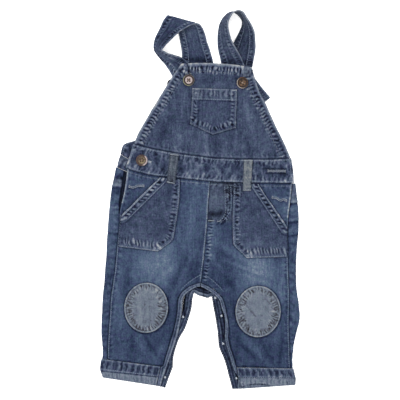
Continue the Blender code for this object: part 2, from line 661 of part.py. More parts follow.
def leg_rows(hip, leg, steps):
    """The fold, side, seam and back lines of one leg, from the waist seam to the cuff.

    The curves break at the crotch, so that the two legs share the centre seam above it.
    """
    hip, leg = np.array(hip), np.array(leg)
    lower = np.column_stack([leg[:, [0, 1, 2, 3, 4, 5, 8, 9]], np.zeros(len(leg))])
    upper = np.vstack([hip[:, [0, 1, 2, 3, 5, 6, 7, 8, 4]], lower[:1]])
    rows = np.vstack([through(upper, steps)[:-1], through(lower, steps)])
    return rows[:, 0:2], rows[:, 2:4], rows[:, 4:6], rows[:, 6:8], rows[:, 8]


def back_leg(name, hip, leg, steps):
    folds, sides, _, backs, openings = leg_rows(hip, leg, steps)
    gapes = sides + (folds - sides) / np.linalg.norm(folds - sides, axis=1, keepdims=True) * openings[:, None]
    backs, ends = inset(backs, folds, SEAM_GAP), inset(gapes, folds, SEAM_GAP)
    inside, outside = [], []
    for i, (back, fold, end) in enumerate(zip(backs, folds, ends)):
        seam = (lambda x: level(BACK_WAIST_SEAMS, 2, x) - 4.0 * SEAM_GAP) if i == 0 else None
        low, high = wrap_section(back, fold, end, DENIM, LEG_BACK_COUNT, LEG_FRONT_COUNT, seam)
        inside.append(low)
        outside.append(high)
    wall(name, *shorten(inside, outside, False), (DENIM_BLUE, CLOTH_ROUGH))


def placket(name, leg, cuff_table, steps, leg_columns, cuff_columns, base, finish, rows=None):
    """A band down the inner edge of a leg and its cuff, between its seam line and its free edge."""
    down_leg = through(leg, steps)
    cuff_rows = through(cuff_table, 1)[:rows]
    lines = []
    for leg_column, cuff_column in zip(leg_columns, cuff_columns):
        along_leg = down_leg[:, leg_column : leg_column + 2]
        along_cuff = cuff_rows[:, cuff_column : cuff_column + 2]
        lines.append(np.vstack([along_leg, along_cuff]))
    grid = [[between(inner, outer, u) for u in PLACKET_PLACES] for inner, outer in zip(*lines)]
    panel(name, pull_in(grid), finish, base, steady(BACK_BAND))


def cuff(name, table, steps):
    rows = through(table, steps)
    folds = rows[:, 0:2]
    ends, backs = inset(rows[:, 2:4], folds, SEAM_GAP), inset(rows[:, 6:8], folds, SEAM_GAP)
    inside, outside = [], []
    for back, fold, end, thickness in zip(backs, folds, ends, rows[:, 10]):
        low, high = wrap_section(back, fold, end, thickness, CUFF_BACK_COUNT, CUFF_FRONT_COUNT)
        inside.append(low)
        outside.append(high)
    wall(name, *shorten(inside, outside, True), (DENIM_GREY, CLOTH_ROUGH))


# ---------------------------------------------------------------- front
def bib_wall(x, y):
    """The bib's wall: one layer, and more along its turned top and side hems."""
    rows = through(FRONT_BIB, 1)
    top = max(rows[0][1], rows[0][3])
    left = np.interp(-y, -rows[:, 1], rows[:, 0])
    right = np.interp(-y, -rows[:, 3], rows[:, 2])
    inward = min(top + HEM_ABOVE - y, (x - left) * LEFT_SQUARE, (right - x) * RIGHT_SQUARE)
    return DENIM + HEM_RISE * (1.0 - float(ease((inward - HEM_WIDTH + HEM_INSIDE) / HEM_STEP)))


def front_bib():
    places = shares(BIB_COLUMNS, HEM_PLACES, HEM_PLACES, BIB_ACROSS)
    grid = flat_grid(through(FRONT_BIB, 2), places)
    for point in grid[-1]:
        point[1] = level(WAIST_SEAMS, 1, point[0]) + SEAM_GAP
    panel("front_bib", grid, (DENIM_BLUE, CLOTH_ROUGH), on_front(0.0), bib_wall)


def bib_pocket():
    grid = flat_grid(through(BIB_POCKET, 2), np.linspace(0.0, 1.0, BIB_POCKET_COLUMNS), pointed=True)
    panel("bib_pocket", grid, (DENIM_BLUE, CLOTH_ROUGH), on_front(DENIM + LAYER_GAP), steady(DENIM))


def front_waistband():
    grid = band_grid(WAIST_SEAMS, WAIST_ENDS, BAND_COLUMNS)
    panel("front_waistband", grid, (DENIM_BLUE, CLOTH_ROUGH), on_front(0.0), steady(BAND))


def front_leg(name, hip, leg, steps):
    _, sides, seams, _, _ = leg_rows(hip, leg, steps)
    places = np.linspace(0.0, 1.0, LEG_COLUMNS)
    grid = pull_in([[between(side, seam, u) for u in places] for side, seam in zip(sides, seams)])
    for point in grid[0]:
        point[1] = level(WAIST_SEAMS, 2, point[0]) - SEAM_GAP
    panel(name, grid, (DENIM_BLUE, CLOTH_ROUGH), on_front(0.0), steady(DENIM))


def pocket_wall(table, side):
    """A hip pocket's wall: one layer, and more along its slanted opening."""
    start = np.array(table[0][side : side + 2])
    end = np.array(table[OPENING_END][side : side + 2])
    way = (end - start) / np.linalg.norm(end - start)

    def thickness(x, y):
        reach = (x - start[0]) * way[1] - (y - start[1]) * way[0]
        past = (abs(reach) - OPENING_WIDTH + OPENING_INSIDE) / OPENING_STEP
        return DENIM + OPENING_RISE * (1.0 - float(ease(past)))

    return thickness


def hip_pocket(name, table, side):
    bands = tuple(place * math.sqrt(2.0) for place in OPENING_PLACES)
    left, right = (bands, ()) if side == 0 else ((), bands)
    places = shares(HIP_POCKET_COLUMNS, left, right, HIP_POCKET_ACROSS)
    grid = flat_grid(through(table, 1), places)
    panel(name, grid, (DENIM_BLUE, CLOTH_ROUGH), on_front(DENIM + LAYER_GAP), pocket_wall(table, side))


def knee_patch(name, middle_x, middle_y, half_width, half_height, lean):
    """An oval patch, as rings of points about its middle, closed at the middle by two fans."""
    base = on_front(DENIM + LAYER_GAP)
    turn = math.radians(lean)
    data = bmesh.new()
    skins = []
    for lift in (0.0, PATCH_WALL):
        middle = data.verts.new(placed((middle_x, middle_y, base(middle_x, middle_y) + lift)))
        loops = []
        for ring in range(1, PATCH_RINGS + 1):
            loop = []
            for k in range(PATCH_SIDES):
                angle = 2.0 * math.pi * k / PATCH_SIDES
                a = half_width * ring / PATCH_RINGS * math.cos(angle)
                b = half_height * ring / PATCH_RINGS * math.sin(angle)
                x = middle_x + a * math.cos(turn) - b * math.sin(turn)
                y = middle_y + a * math.sin(turn) + b * math.cos(turn)
                loop.append(data.verts.new(placed((x, y, base(x, y) + lift))))
            loops.append(loop)
        for k in range(PATCH_SIDES):
            n = (k + 1) % PATCH_SIDES
            data.faces.new((middle, loops[0][k], loops[0][n]))
            for inner, outer in zip(loops, loops[1:]):
                data.faces.new((inner[k], outer[k], outer[n], inner[n]))
        skins.append(loops[-1])
    for k in range(PATCH_SIDES):
        n = (k + 1) % PATCH_SIDES
        data.faces.new((skins[0][k], skins[0][n], skins[1][n], skins[1][k]))
    add_object(name, data, (DENIM_GREY, CLOTH_ROUGH))


def belt_loop(name, table):
    rows = through([row + (0.0,) for row in table], 2)
    ends = [row[1] for row in rows]

    def base(x, y):
        share = float(np.clip((ends[0] - y) / (ends[0] - ends[-1]), 0.0, 1.0))
        return front_height(x, y) + LOOP_LIFT + LOOP_BULGE * math.sin(math.pi * share)

    grid = flat_grid(rows, np.linspace(0.0, 1.0, LOOP_COLUMNS))
    panel(name, grid, (DENIM_GREY, CLOTH_ROUGH), base, steady(LOOP_WALL))


# ---------------------------------------------------------------- buttons and poppers
def buttons():
    for name, middle in BIB_BUTTONS.items():
        base = 0.0
        for angle in np.linspace(0.0, 2.0 * math.pi, RIM_PLACES, endpoint=False):
            x, y = middle[0] + BUTTON_RADIUS * math.cos(angle), middle[1] + BUTTON_RADIUS * math.sin(angle)
            base = max(base, front_height(x, y) + bib_wall(x, y) + LAYER_GAP)
        colour = HORN_PINK if name.endswith("_l") else HORN_BROWN
        finish = (colour, HORN_ROUGH)
        turned(name, middle, base, BUTTON_RADIUS, BUTTON_HEIGHT, BUTTON_PROFILE, BUTTON_SIDES, finish)
    finish = (HORN_BROWN, HORN_ROUGH)
    sizes = (front_height(*WAIST_BUTTON) + BAND + LAYER_GAP, BUTTON_RADIUS, BUTTON_HEIGHT)
    turned("waist_button", WAIST_BUTTON, *sizes, BUTTON_PROFILE, BUTTON_SIDES, finish)
    sizes = (SPARE_BASE, SPARE_RADIUS, SPARE_HEIGHT)
    turned("spare_button", SPARE_BUTTON, *sizes, BUTTON_PROFILE, SPARE_SIDES, finish)


def poppers():
    for name, middle in POPPERS.items():
        base = BACK_BAND + LAYER_GAP
        finish = (STEEL, STEEL_ROUGH, 1.0)
        turned(name, middle, base, POPPER_RADIUS, POPPER_HEIGHT, POPPER_PROFILE, POPPER_SIDES, finish)


def main():
    for old in list(bpy.data.objects):
        bpy.data.objects.remove(old, do_unlink=True)
    back_bib()
    back_waistband()
    back_finish = (DENIM_DARK, CLOTH_ROUGH)
    front_finish = (DENIM_BLUE, CLOTH_ROUGH)
    for side, hip, leg, turn_up in (("l", HIP_L, LEG_L, CUFF_L), ("r", HIP_R, LEG_R, CUFF_R)):
        back_leg("back_leg_" + side, hip, leg, 2)
        front_leg("front_leg_" + side, hip, leg, 2)
        placket("back_placket_" + side, leg, turn_up, 2, (8, 10), (6, 8), steady(0.0), back_finish)
        last = None if side == "l" else 3
        placket("front_placket_" + side, leg, turn_up, 2, (4, 6), (2, 4), on_front(0.0), front_finish, last)
        cuff("cuff_" + side, turn_up, 1)
    ribbon("strap_l", STRAP_L, 2, (DENIM_BLUE, CLOTH_ROUGH))
    ribbon("strap_r", STRAP_R, 2, (DENIM_BLUE, CLOTH_ROUGH))
    front_bib()
    bib_pocket()
    front_waistband()
    hip_pocket("hip_pocket_l", HIP_POCKET_L, 0)
    hip_pocket("hip_pocket_r", HIP_POCKET_R, 2)
    for name, sizes in KNEE_PATCHES.items():
        knee_patch(name, *sizes)
    for name, table in BELT_LOOPS.items():
        belt_loop(name, table)
    buttons()
    poppers()


main()
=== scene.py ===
"""The looks of the kids denim dungarees, laid flat face up and seen from straight above.

Every cloth piece is a thin shell on its solid's form: two matching grids of points, closed by a rounded edge,
with sewn puckers, creases, wash and painted shade worked out from the distances to its own seams. Tables are
in millimetres, in the axes of the solids' tables, and MIDDLE moves them to the model's own frame.
"""

import math

import bpy
import numpy as np
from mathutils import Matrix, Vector
from mathutils.bvhtree import BVHTree


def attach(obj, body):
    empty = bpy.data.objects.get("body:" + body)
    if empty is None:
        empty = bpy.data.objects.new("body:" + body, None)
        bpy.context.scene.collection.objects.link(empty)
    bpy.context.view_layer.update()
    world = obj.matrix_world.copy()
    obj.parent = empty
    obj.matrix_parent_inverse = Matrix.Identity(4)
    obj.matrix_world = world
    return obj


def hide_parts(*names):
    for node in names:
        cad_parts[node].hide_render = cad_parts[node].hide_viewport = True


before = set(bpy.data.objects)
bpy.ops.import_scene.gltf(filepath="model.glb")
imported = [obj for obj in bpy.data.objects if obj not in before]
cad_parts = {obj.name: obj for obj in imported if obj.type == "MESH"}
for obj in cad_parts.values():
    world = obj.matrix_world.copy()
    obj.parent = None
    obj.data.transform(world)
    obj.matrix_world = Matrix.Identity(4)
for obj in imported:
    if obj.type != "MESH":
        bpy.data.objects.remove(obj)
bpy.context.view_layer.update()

MM = 0.001
MIDDLE = (0.56, -0.13)

# ---------------------------------------------------------------- sizes of the solids, repeated
DENIM = 1.2
BAND = 2.4
BACK_BAND = 2.2
STRAP = 2
HEM_RISE = 0.9
HEM_WIDTH = 13
OPENING_RISE = 0.7
OPENING_WIDTH = 8
SEAM_GAP = 0.15
LAYER_GAP = 0.45
LOOP_LIFT = 2.65
LOOP_WALL = 1.6
LOOP_BULGE = 1.3
PATCH_WALL = 1.2
BUTTON_RADIUS = 7.8
BUTTON_HEIGHT = 2.9
SPARE_RADIUS = 6
SPARE_HEIGHT = 2.4
SPARE_BASE = 1.9
POPPER_RADIUS = 1.6
POPPER_HEIGHT = 1.7

# ---------------------------------------------------------------- sizes of the shells
RIM = (0, 0.12, 0.36, 0.72)       # distances of the first points from a cloth's edge, which is rounded there
FINE = 1.05                       # spacing of points on the panels that show
COARSE = 2.4                      # spacing where a panel lies hidden on the ground
STEPS = 30                        # points on a curve between two rows of a table, before it is spaced out
CURL_COUNT = 11                   # points round the curl of a cloth that comes back on top
PUCKERS = 2048                    # how many ridges a hem has to draw from
TWILL_PITCH = 1.3
INSIDE_WEAVE = 40                 # how far into the noise the inside of a cloth lies
LIGHT_LEVEL = 2.6                 # how brightly the studio lights a flat sheet
FLOOR, FLOOR_DROP = 5, 0.0002     # half width of the floor and its depth below the ground, in metres
FAR = 1e9

STITCH_PITCH = 3.1
STITCH_LENGTH = 2.3
STITCH_WIDTH = 0.62
STITCH_LIFT = 0.12
STITCH_SIDES = 6
STITCH_RINGS = ((-0.5, 0.3), (-0.34, 0.9), (0, 1), (0.34, 0.9), (0.5, 0.3))  # place along, share of width
BAR_PITCH, BAR_WIDTH = 0.62, 0.66
HOLE_PITCH, HOLE_STITCH = 0.7, 0.62

# y, height
FRONT_LEVEL = (
    (-260, 3.4), (-226, 3.4), (-200, 2.8), (-100, 2.8), (-60, 2.5), (-20, 2.5), (8, 2.75), (80, 2.75),
    (98, 3.8), (124, 4.85), (200, 4.85),
)
# middle_x, middle_y, direction_degrees, half_length, half_width, height
FOLDS = (
    (-72, -120, 88, 85, 30, 1), (78, -122, 94, 85, 30, 1), (62, -98, -25, 38, 7, 0.9),
    (-64, -92, 22, 34, 8, 0.6), (-42, -178, 72, 30, 7, 0.7), (64, -196, 112, 26, 7, 0.7),
    (104, -186, 80, 32, 8, 0.7), (-108, -170, 86, 34, 7, 0.6), (-6, 92, 80, 30, 13, 0.6),
    (72, 84, 66, 30, 12, 0.6),
)
# Finer creases that run through every layer of the front, ridges above zero and troughs below.
# middle_x, middle_y, direction_degrees, half_length, half_width, height
CREASES = (
    (80, -103, -20, 38, 3, -0.4), (62, -93, -22, 34, 3, 0.35), (52, -84, -28, 26, 4, -0.35),
    (30, -94, -52, 20, 3.5, 0.5), (40, -110, -60, 22, 4, -0.5), (-16, -88, 62, 22, 3.5, 0.45),
    (-30, -104, 66, 24, 4.5, -0.5), (-44, -98, 40, 18, 3.5, 0.4), (-36, -140, 84, 24, 4, 0.45),
    (-98, -112, 80, 30, 4.5, -0.4), (-78, -198, -58, 22, 3.5, 0.35), (-67, -196, -58, 20, 2.8, -0.5),
    (-92, -200, 84, 22, 4, -0.35), (-52, -204, 70, 14, 3, 0.45), (64, -203, -46, 20, 2.8, -0.55),
    (76, -203, -50, 22, 3.5, 0.4), (92, -206, -62, 20, 3, -0.4), (50, -204, 84, 18, 3.5, -0.35),
    (110, -206, 82, 22, 3.5, -0.4), (47, -150, 92, 26, 3.5, -0.45), (110, -128, 86, 26, 4, 0.4),
    (-70, -22, 8, 26, 6, -0.35), (-12, -30, 84, 34, 5, 0.3), (2, -62, 80, 26, 4, -0.3),
    (78, -34, 12, 24, 6, -0.3), (36, -66, -40, 22, 4, 0.35), (8, 76, 88, 20, 3, 0.45),
    (22, 78, 92, 22, 3, -0.4), (48, 74, 86, 18, 3, 0.4), (66, 76, 94, 16, 3.5, -0.4),
    (-28, 82, 84, 20, 4, 0.4), (-46, 96, 64, 22, 4.5, -0.35), (-22, 126, 76, 24, 4, 0.3),
    (66, 118, 100, 26, 4, 0.35), (20, 162, 4, 24, 4, -0.25),
)

# x, top_y, bottom_y
WAIST_SEAMS = (
    (-100, 78.5, 42.5), (-88, 75, 38.5), (-69, 70, 33.5), (-45, 65, 30.5), (-26, 62, 28.5), (0, 58.5, 26),
    (14, 57, 24.5), (45, 55, 23), (71, 54.5, 22.5), (99, 54.5, 22), (128, 56.5, 22),
)
# left_x, right_x at the top seam, half way and at the bottom seam
WAIST_ENDS = (
    (-89.5, 124), (-94.5, 126.5), (-100, 128),
)
# x, top_y, bottom_y
BACK_WAIST_SEAMS = (
    (-113, 66, 44.5), (-100, 57, 38.5), (-60, 50, 30.5), (0, 48, 20.5), (60, 49, 18.5), (126, 54, 20),
)
# left_x, right_x
BACK_WAIST_ENDS = (
    (-106.5, 121.5), (-109.5, 123.5), (-111.5, 125),
)
# left_x, left_y, right_x, right_y, bow
FRONT_BIB = (
    (-24.5, 183.5, 71, 178.5, 3), (-30.5, 175, 72.5, 172, 1.5), (-36.5, 166.5, 75, 163.5, 0.5),
    (-48.5, 147, 81.5, 144.5, 0), (-60.5, 128, 90, 128, 0), (-69.5, 112.5, 97, 112, 0),
    (-78, 98, 104, 97, -2), (-83.5, 88, 112, 81, -4.5), (-88.5, 76, 123, 57, -8.5),
)
# left_x, left_y, right_x, right_y, bow
BACK_BIB = (
    (-29, 124, 72, 124, 0), (-46.5, 106.5, 86.5, 106, 0), (-67, 89, 98, 88.5, 0),
    (-84.5, 80.5, 108.5, 77.5, 0), (-95, 77.5, 114, 71, -2.5), (-103.5, 73.5, 118.5, 65, -6),
    (-107, 63, 121, 56, -9.5),
)
# seam_x, seam_y, back_x, back_y of both hips, row by row
CENTRE_SEAM = (
    (14.3, 24, 7.5, 20), (13, 9, 7.5, 4.5), (11.5, -9, 7.5, -10), (10.5, -29, 7, -27.5), (8.5, -52, 7, -52),
    (6.5, -72, 6, -71), (4.3, -92.5, 5.5, -92.5), (2.6, -105.5, 5, -108.5),
)
# fold_x, fold_y, side_x, side_y, opening
HIP_L = (
    (-112.5, 41, -97.5, 40, 4), (-116, 27.5, -99.5, 25, 4.6), (-119, 13, -102, 9, 4.2),
    (-121, -4.5, -105.5, -6, 2.8), (-122.5, -21, -108, -19.5, 0), (-123.5, -37, -108.5, -36, 0),
    (-125, -57.5, -110.5, -56, 0), (-126, -77.5, -112.5, -76.5, 0),
)
HIP_R = (
    (129.5, 19, 125, 20, 0), (131.5, 5, 123.5, 6, 0), (133, -10, 121.5, -10, 0),
    (134, -25, 119.5, -26.5, 0), (133.5, -45, 119, -46.5, 0), (131.5, -65.5, 119.5, -67, 0),
    (130.5, -87, 119.5, -87, 0), (130.5, -106, 120, -103.5, 0),
)
# fold_x, fold_y, side_x, side_y, seam_x, seam_y, edge_x, edge_y, back_x, back_y, rim_x, rim_y
LEG_L = (
    (-127.5, -95, -114, -94, 1.6, -111.8, 1.2, -117.8, 5, -115.5, 5, -131.5),
    (-128.5, -109, -116, -107.5, -4, -112.8, -3, -118, -1.5, -117, -1.5, -129.5),
    (-129.5, -120, -117.5, -118, -12.8, -116.3, -11, -122, -9, -119.5, -7, -126.5),
    (-130.5, -129.5, -119, -127.5, -20.5, -121.5, -17, -126.5, -16, -124.5, -8.5, -130.5),
    (-131, -138, -120, -136.5, -26, -127.3, -21, -131, -21, -131.5, -9.5, -135.5),
    (-131.5, -147.5, -120.5, -145, -29.3, -135.3, -23, -137, -23, -145, -11, -148),
    (-132, -159, -121, -156, -30.3, -148, -23.5, -149, -25.3, -160, -15, -161.5),
    (-132.5, -170, -122, -167.5, -31.8, -160, -25.2, -161, -29.3, -172, -20, -175),
    (-132.5, -182, -122.8, -180, -35.3, -176, -28.5, -178.5, -34.8, -184.5, -27, -187),
    (-131.5, -194, -123.6, -192.5, -39.8, -191.8, -33, -194.5, -39.2, -196.5, -31.5, -199),
    (-130.5, -205, -124, -204, -45.3, -210, -39.5, -212.5, -44.3, -211.5, -35, -212.5),
    (-131.5, -214, -124, -215, -49.8, -224.5, -44.3, -226.8, -46.3, -224.5, -36, -227),
)
LEG_R = (
    (131, -119.5, 120.5, -115.5, 1.6, -111.8, 2, -117.8, 5, -115.5, 5, -131.5),
    (132.5, -130, 121, -125, 8.6, -114.8, 6.8, -120, 11.5, -117.5, 11, -133),
    (134, -141, 121, -134.5, 15.8, -118.8, 13.5, -124, 19, -121, 16, -131),
    (135, -150.5, 121, -144, 24.3, -125, 21, -129.5, 26.8, -127.3, 17, -135),
    (135, -160, 120.8, -152, 31.3, -133, 27, -136.5, 30.8, -137.3, 18, -142.5),
    (134, -168, 120.6, -160, 34.8, -143.5, 29.7, -146.5, 34.3, -152, 20, -152.5),
    (132, -175, 120.6, -168, 37, -153.3, 32.8, -155, 36.3, -164, 22, -164),
    (130.5, -182, 120.7, -176, 39, -164.3, 34.2, -164.5, 36.8, -176, 24, -177),
    (128.5, -190, 121, -187, 40, -176.3, 34.7, -176, 36.8, -187, 25, -188.5),
    (127, -198, 121.4, -196.5, 39.5, -187, 34.2, -187.5, 38.8, -198, 26.5, -200),
    (126.2, -206, 121.7, -204.5, 41.8, -198.3, 36.6, -199.5, 43.5, -210, 31.5, -211.5),
    (125.5, -215, 121.9, -214, 45.8, -210.3, 40.6, -212, 48.3, -222, 35.5, -223),
    (126, -226.8, 122.6, -226.6, 50, -225, 44.8, -225.8, 50.5, -227.8, 37, -229),
)
# fold_x, fold_y, end_x, end_y, edge_x, edge_y, back_x, back_y, rim_x, rim_y, wall
CUFF_L = (
    (-132.5, -214.8, -52.6, -225.2, -44.8, -228, -46.8, -225.4, -36.5, -227.5, 2.9),
    (-133.4, -223.5, -54, -231.5, -46.8, -233.5, -48.6, -232, -38.7, -234, 2.5),
    (-134, -230.5, -55.5, -238.5, -49, -239.5, -50, -239.5, -41.5, -241, 2.1),
    (-133, -233.5, -56.2, -241.5, -50, -242.5, -50.6, -242.5, -42.6, -244, 2.6),
    (-130.5, -240.5, -58, -250.5, -52.3, -251.6, -53.8, -252.3, -46, -254, 2.6),
)
CUFF_R = (
    (126.8, -228, 50.6, -226.6, 45.2, -227.2, 52, -228.8, 37.6, -230, 2.9),
    (128.6, -234, 51.5, -233.5, 46.8, -231, 54, -235.5, 38.8, -236, 2.5),
    (129.8, -240, 52.4, -239.5, 48.3, -233.4, 55.6, -242, 40.6, -242.5, 2.1),
    (130, -243, 52.4, -242.5, 48.6, -234.2, 56.2, -245.5, 41.6, -246, 2.6),
    (129.5, -250.5, 51.6, -255.3, 49, -235, 57.8, -255.6, 44, -255.8, 2.6),
)
# left_x, left_y, right_x, right_y
HIP_POCKET_L = (
    (-53.5, 29.8, -26, 27.3), (-67, 17, -26.5, 12), (-80.5, 4, -27.5, -2), (-93, -9, -29, -15.5),
    (-105, -21.5, -31, -29), (-107.3, -38.5, -33.5, -44), (-108, -52, -36.5, -55), (-108.6, -58, -46, -63),
    (-109.2, -63.5, -56.5, -70),
)
HIP_POCKET_R = (
    (46, 22, 79.5, 21.2), (45.5, 7.5, 89.5, 5), (45, -7.5, 99.5, -9), (44.5, -22.5, 109.5, -23.5),
    (44.5, -37, 118.2, -37.5), (45, -49.5, 118.2, -52), (46, -61, 118.6, -63.5), (54.5, -70, 118.8, -70),
    (64, -79, 118.8, -77.5),
)
# left_x, left_y, right_x, right_y, drop of the pointed bottom
BIB_POCKET = (
    (-9.5, 150.5, 50.5, 148.5, 0), (-10.5, 135, 50.5, 133, 0), (-11.5, 118, 49.5, 115, -3.5),
    (-13, 102, 49, 96.5, -12),
)
# left_x, left_y, right_x, right_y, from the top end down; then how washed out and how grey it is
BELT_LOOPS = {
    "belt_loop_l": ((
        (-40, 62.5, -27.5, 61), (-41.5, 49.5, -29.5, 47.5), (-43, 36, -31, 34), (-44.5, 22.5, -33, 20.5),
    ), -0.2, 0.75),
    "belt_loop_r": ((
        (59.5, 54, 72, 53.5), (59.5, 40, 71, 39.5), (58.5, 25, 70, 24.5), (58.5, 11.5, 69.5, 11.5),
    ), 0.12, 1.15),
}
# first column of the leg's table, lift, slot, flat size, tone of either side
PLACKETS = {
    "back": (8, None, "denim_back", (14, 175), {"l": -0.2, "r": -0.36}),
    "front": (4, 0, "denim_front", (12, 165), {"l": 0.12, "r": 0.02}),
}
# middle_x, middle_y, half_width, half_height, lean_degrees
KNEE_PATCHES = {
    "knee_patch_l": (-72, -146, 29.5, 33.8, -4), "knee_patch_r": (79, -151, 30.5, 34.6, -4),
}
# hold_x, hold_y, hold_z, free_x, free_y, free_z
STRAP_R = (
    (25, 118, 2.7, 61.5, 118, 2.7), (26, 125.5, 2.7, 62.8, 125.5, 2.7), (27.5, 134, 1.3, 64.3, 133, 1.3),
    (29.5, 145, 1, 66.5, 143, 1), (31.5, 161.5, 1, 69, 158.5, 1), (34.5, 180, 1, 71, 176, 1),
    (38.5, 196.5, 1, 73.5, 189.5, 1.6), (44.5, 209, 1, 75.5, 202, 8.5), (50, 219.5, 0.3, 75, 214, 18),
    (54.5, 228, 0.3, 73.5, 226, 23.5), (57.5, 235.5, 0.3, 69.5, 235, 26),
    (57.5, 241.5, 0.3, 63.5, 244.5, 27.5), (54.5, 246.5, 0.3, 58.5, 252, 28),
    (50.5, 250.5, 0.3, 52.5, 254.3, 28), (46, 253, 0.3, 46.8, 252.5, 28), (40, 252.3, 0.3, 43, 248.5, 27.5),
    (34, 247.5, 0.3, 40, 243, 27), (29.5, 241.5, 0.3, 38.5, 238, 26.5), (26.5, 234, 0.3, 38.3, 231.5, 26),
    (24.7, 222, 1.1, 40, 224, 24.5), (24.4, 212.5, 1.2, 42.5, 216, 22), (25, 203, 1.6, 46, 209.5, 18),
    (27, 193.5, 2.6, 50.5, 202, 12.5), (29.5, 183, 3.3, 56, 192.5, 4.2), (35, 170, 3.4, 61.5, 179.5, 3.4),
    (42.5, 159, 3.4, 65.5, 173.5, 3.4), (53, 147.5, 3.4, 74, 164.5, 3.4), (65.5, 131.5, 3.3, 87, 148, 2.6),
    (74.5, 121, 3, 96, 137.5, 1.6),
)
STRAP_L = (
    (-15.5, 118, 2.7, 20, 118, 2.7), (-16.3, 125.5, 2.7, 20, 125.5, 2.7), (-17.2, 134, 1.3, 20, 134, 1.3),
    (-18, 145, 1, 20, 145, 1), (-20, 164, 1, 19.5, 162.5, 1), (-23, 185.5, 1, 18.5, 185, 1),
    (-24.5, 202, 1, 14, 202.5, 1), (-26.5, 214, 1, 10.5, 212.5, 1.6), (-29.5, 228, 1, 8, 222, 3.2),
    (-35, 239.5, 1, 5.5, 229, 5.2), (-41, 246, 1.4, 2.5, 234, 7.5), (-43, 248.3, 2.8, -1, 236.5, 9.4),
    (-44.5, 247.5, 4.2, -5.5, 236.5, 10.2), (-47.5, 244, 4.6, -11.5, 235, 10),
    (-50.5, 238.5, 4.4, -18, 231.5, 10), (-53.5, 231.5, 3.6, -25.5, 227, 12.5),
    (-56.5, 225.5, 2.6, -32.5, 221, 17), (-59.5, 219, 1.8, -39, 214.5, 21),
    (-61.3, 212.5, 1.2, -45, 208.5, 23.5), (-61.8, 207, 1, -49.5, 203, 25.5),
    (-61, 201.5, 1, -50.5, 200.5, 26.5), (-58, 196.5, 1, -47.5, 199, 26.3), (-53, 190, 1, -41, 196, 24.5),
    (-47.5, 183.5, 1.2, -33, 194, 18.5), (-43.7, 177.7, 1.3, -27.5, 193, 11),
    (-40, 172, 1.9, -22, 190.5, 4.2), (-36.5, 166.5, 2.9, -17, 186.5, 3.6), (-27, 156, 3.3, -6, 174, 3.4),
    (-19, 146.5, 3.4, 2, 163.5, 3.4),
)
BIB_BUTTONS = {"bib_button_l": (-14.5, 161), "bib_button_r": (58, 157.5)}
WAIST_BUTTON = (-78, 53)
SPARE_BUTTON = (-37.8, 156.5)
POPPERS = {
    "popper_crotch": (21.3, -132.7), "popper_l_1": (-22.2, -158.5), "popper_l_2": (-46.6, -239.8),
    "popper_r_1": (29.8, -157), "popper_r_2": (32, -194.5), "popper_r_3": (50, -241.3),
}

# ---------------------------------------------------------------- the wash, and painted shade and light
# Where the cloth is bleached or left dark, as soft ovals over the front.
# middle_x, middle_y, direction_degrees, half_length, half_width, amount
FADES = (
    (-58, -88, 10, 34, 24, 0.46), (-40, -70, 30, 28, 20, 0.12), (80, -98, -14, 36, 24, 0.43),
    (-6, -28, 4, 20, 56, 0.12), (-13, -93, 30, 15, 24, -0.34), (26, -96, -30, 20, 24, -0.26),
    (17, -70, 0, 6, 34, 0.12), (42, -124, -10, 13, 30, -0.2), (-34, -150, 6, 12, 40, -0.14),
    (-80, -204, 0, 52, 20, -0.11), (84, -208, 0, 44, 20, -0.12), (-106, -130, 0, 12, 70, 0.07),
    (100, -60, 0, 26, 16, -0.06), (36, -50, 0, 10, 24, -0.06), (23, -2, 0, 9, 20, 0.1),
    (20, 72, 0, 40, 12, -0.05),
)
# painted shade and painted highlights of soft folds that run on over several pieces, in the same columns
FOLD_SHADING = (
    (66, -82, 0, 19, 27, 0.22), (54, -121, 10, 27, 12, 0.17), (34, -76, 0, 9, 14, 0.14),
    (-67, -122, 0, 18, 11, 0.13), (-67, -68, 0, 18, 13, 0.12), (-120, -15, 0, 11, 17, 0.15),
    (-119, -68, 0, 11, 16, 0.12), (-48, -60, 0, 9, 9, 0.16), (124, -22, 0, 10, 26, 0.18),
    (43, 17, 0, 14, 10, -0.2), (-36, 17, 0, 12, 11, -0.22), (-94, -14, 0, 12, 12, -0.1),
    (115, 19, 0, 10, 8, -0.22), (100, 46, 0, 8, 9, -0.42), (116, 46, 0, 6, 8, 0.2),
    (114, 73, 0, 9, 9, -0.2), (-98, 60, 0, 10, 9, -0.2), (-74, 74, 0, 8, 8, -0.18),
    (-74, 33, 0, 8, 8, -0.16), (74, 168, 0, 8, 8, -0.36), (54, 182, 0, 12, 6, 0.24),
    (102, 100, 0, 9, 9, -0.16), (-59, 128, 30, 7, 9, 0.4), (-46, 60, 0, 8, 7, -0.16),
    (9, 58, 0, 11, 13, 0.14), (-7, 46, 0, 8, 8, -0.14), (50, 62, 0, 12, 8, -0.16),
    (-41, 188, 0, 13, 15, 0.2), (-41, 215, 45, 17, 9, -0.38), (58, 244, -20, 12, 10, 0.26),
    (48, 208, 0, 8, 10, 0.18), (-7, 236, -20, 11, 8, 0.2), (-40, -227, 0, 14, 11, -0.34),
    (129, -236, 0, 8, 8, -0.2), (39, -214, 14, 13, 34, -0.28), (48, -128, 0, 8, 18, 0.17),
    (48, -183, 0, 9, 10, -0.2), (-33, -184, -10, 7, 20, -0.2), (-47, -116, 0, 8, 8, 0.16),
    (20, -150, 0, 8, 17, -0.4), (-15, -147, 0, 12, 17, -0.3), (-36, -152, -8, 9, 26, -0.24),
    (103, -101, 0, 8, 8, -0.17), (128, -129, 0, 8, 10, 0.2), (-127, -115, 0, 8, 9, -0.17),
    (74, 20, 0, 8, 8, -0.18), (76, -60, 0, 9, 8, 0.14),
)
J_STITCH = ((42, 18), (42.9, 2.7), (42.5, -12.4), (40.1, -18.9), (33.2, -27.5), (26, -33))
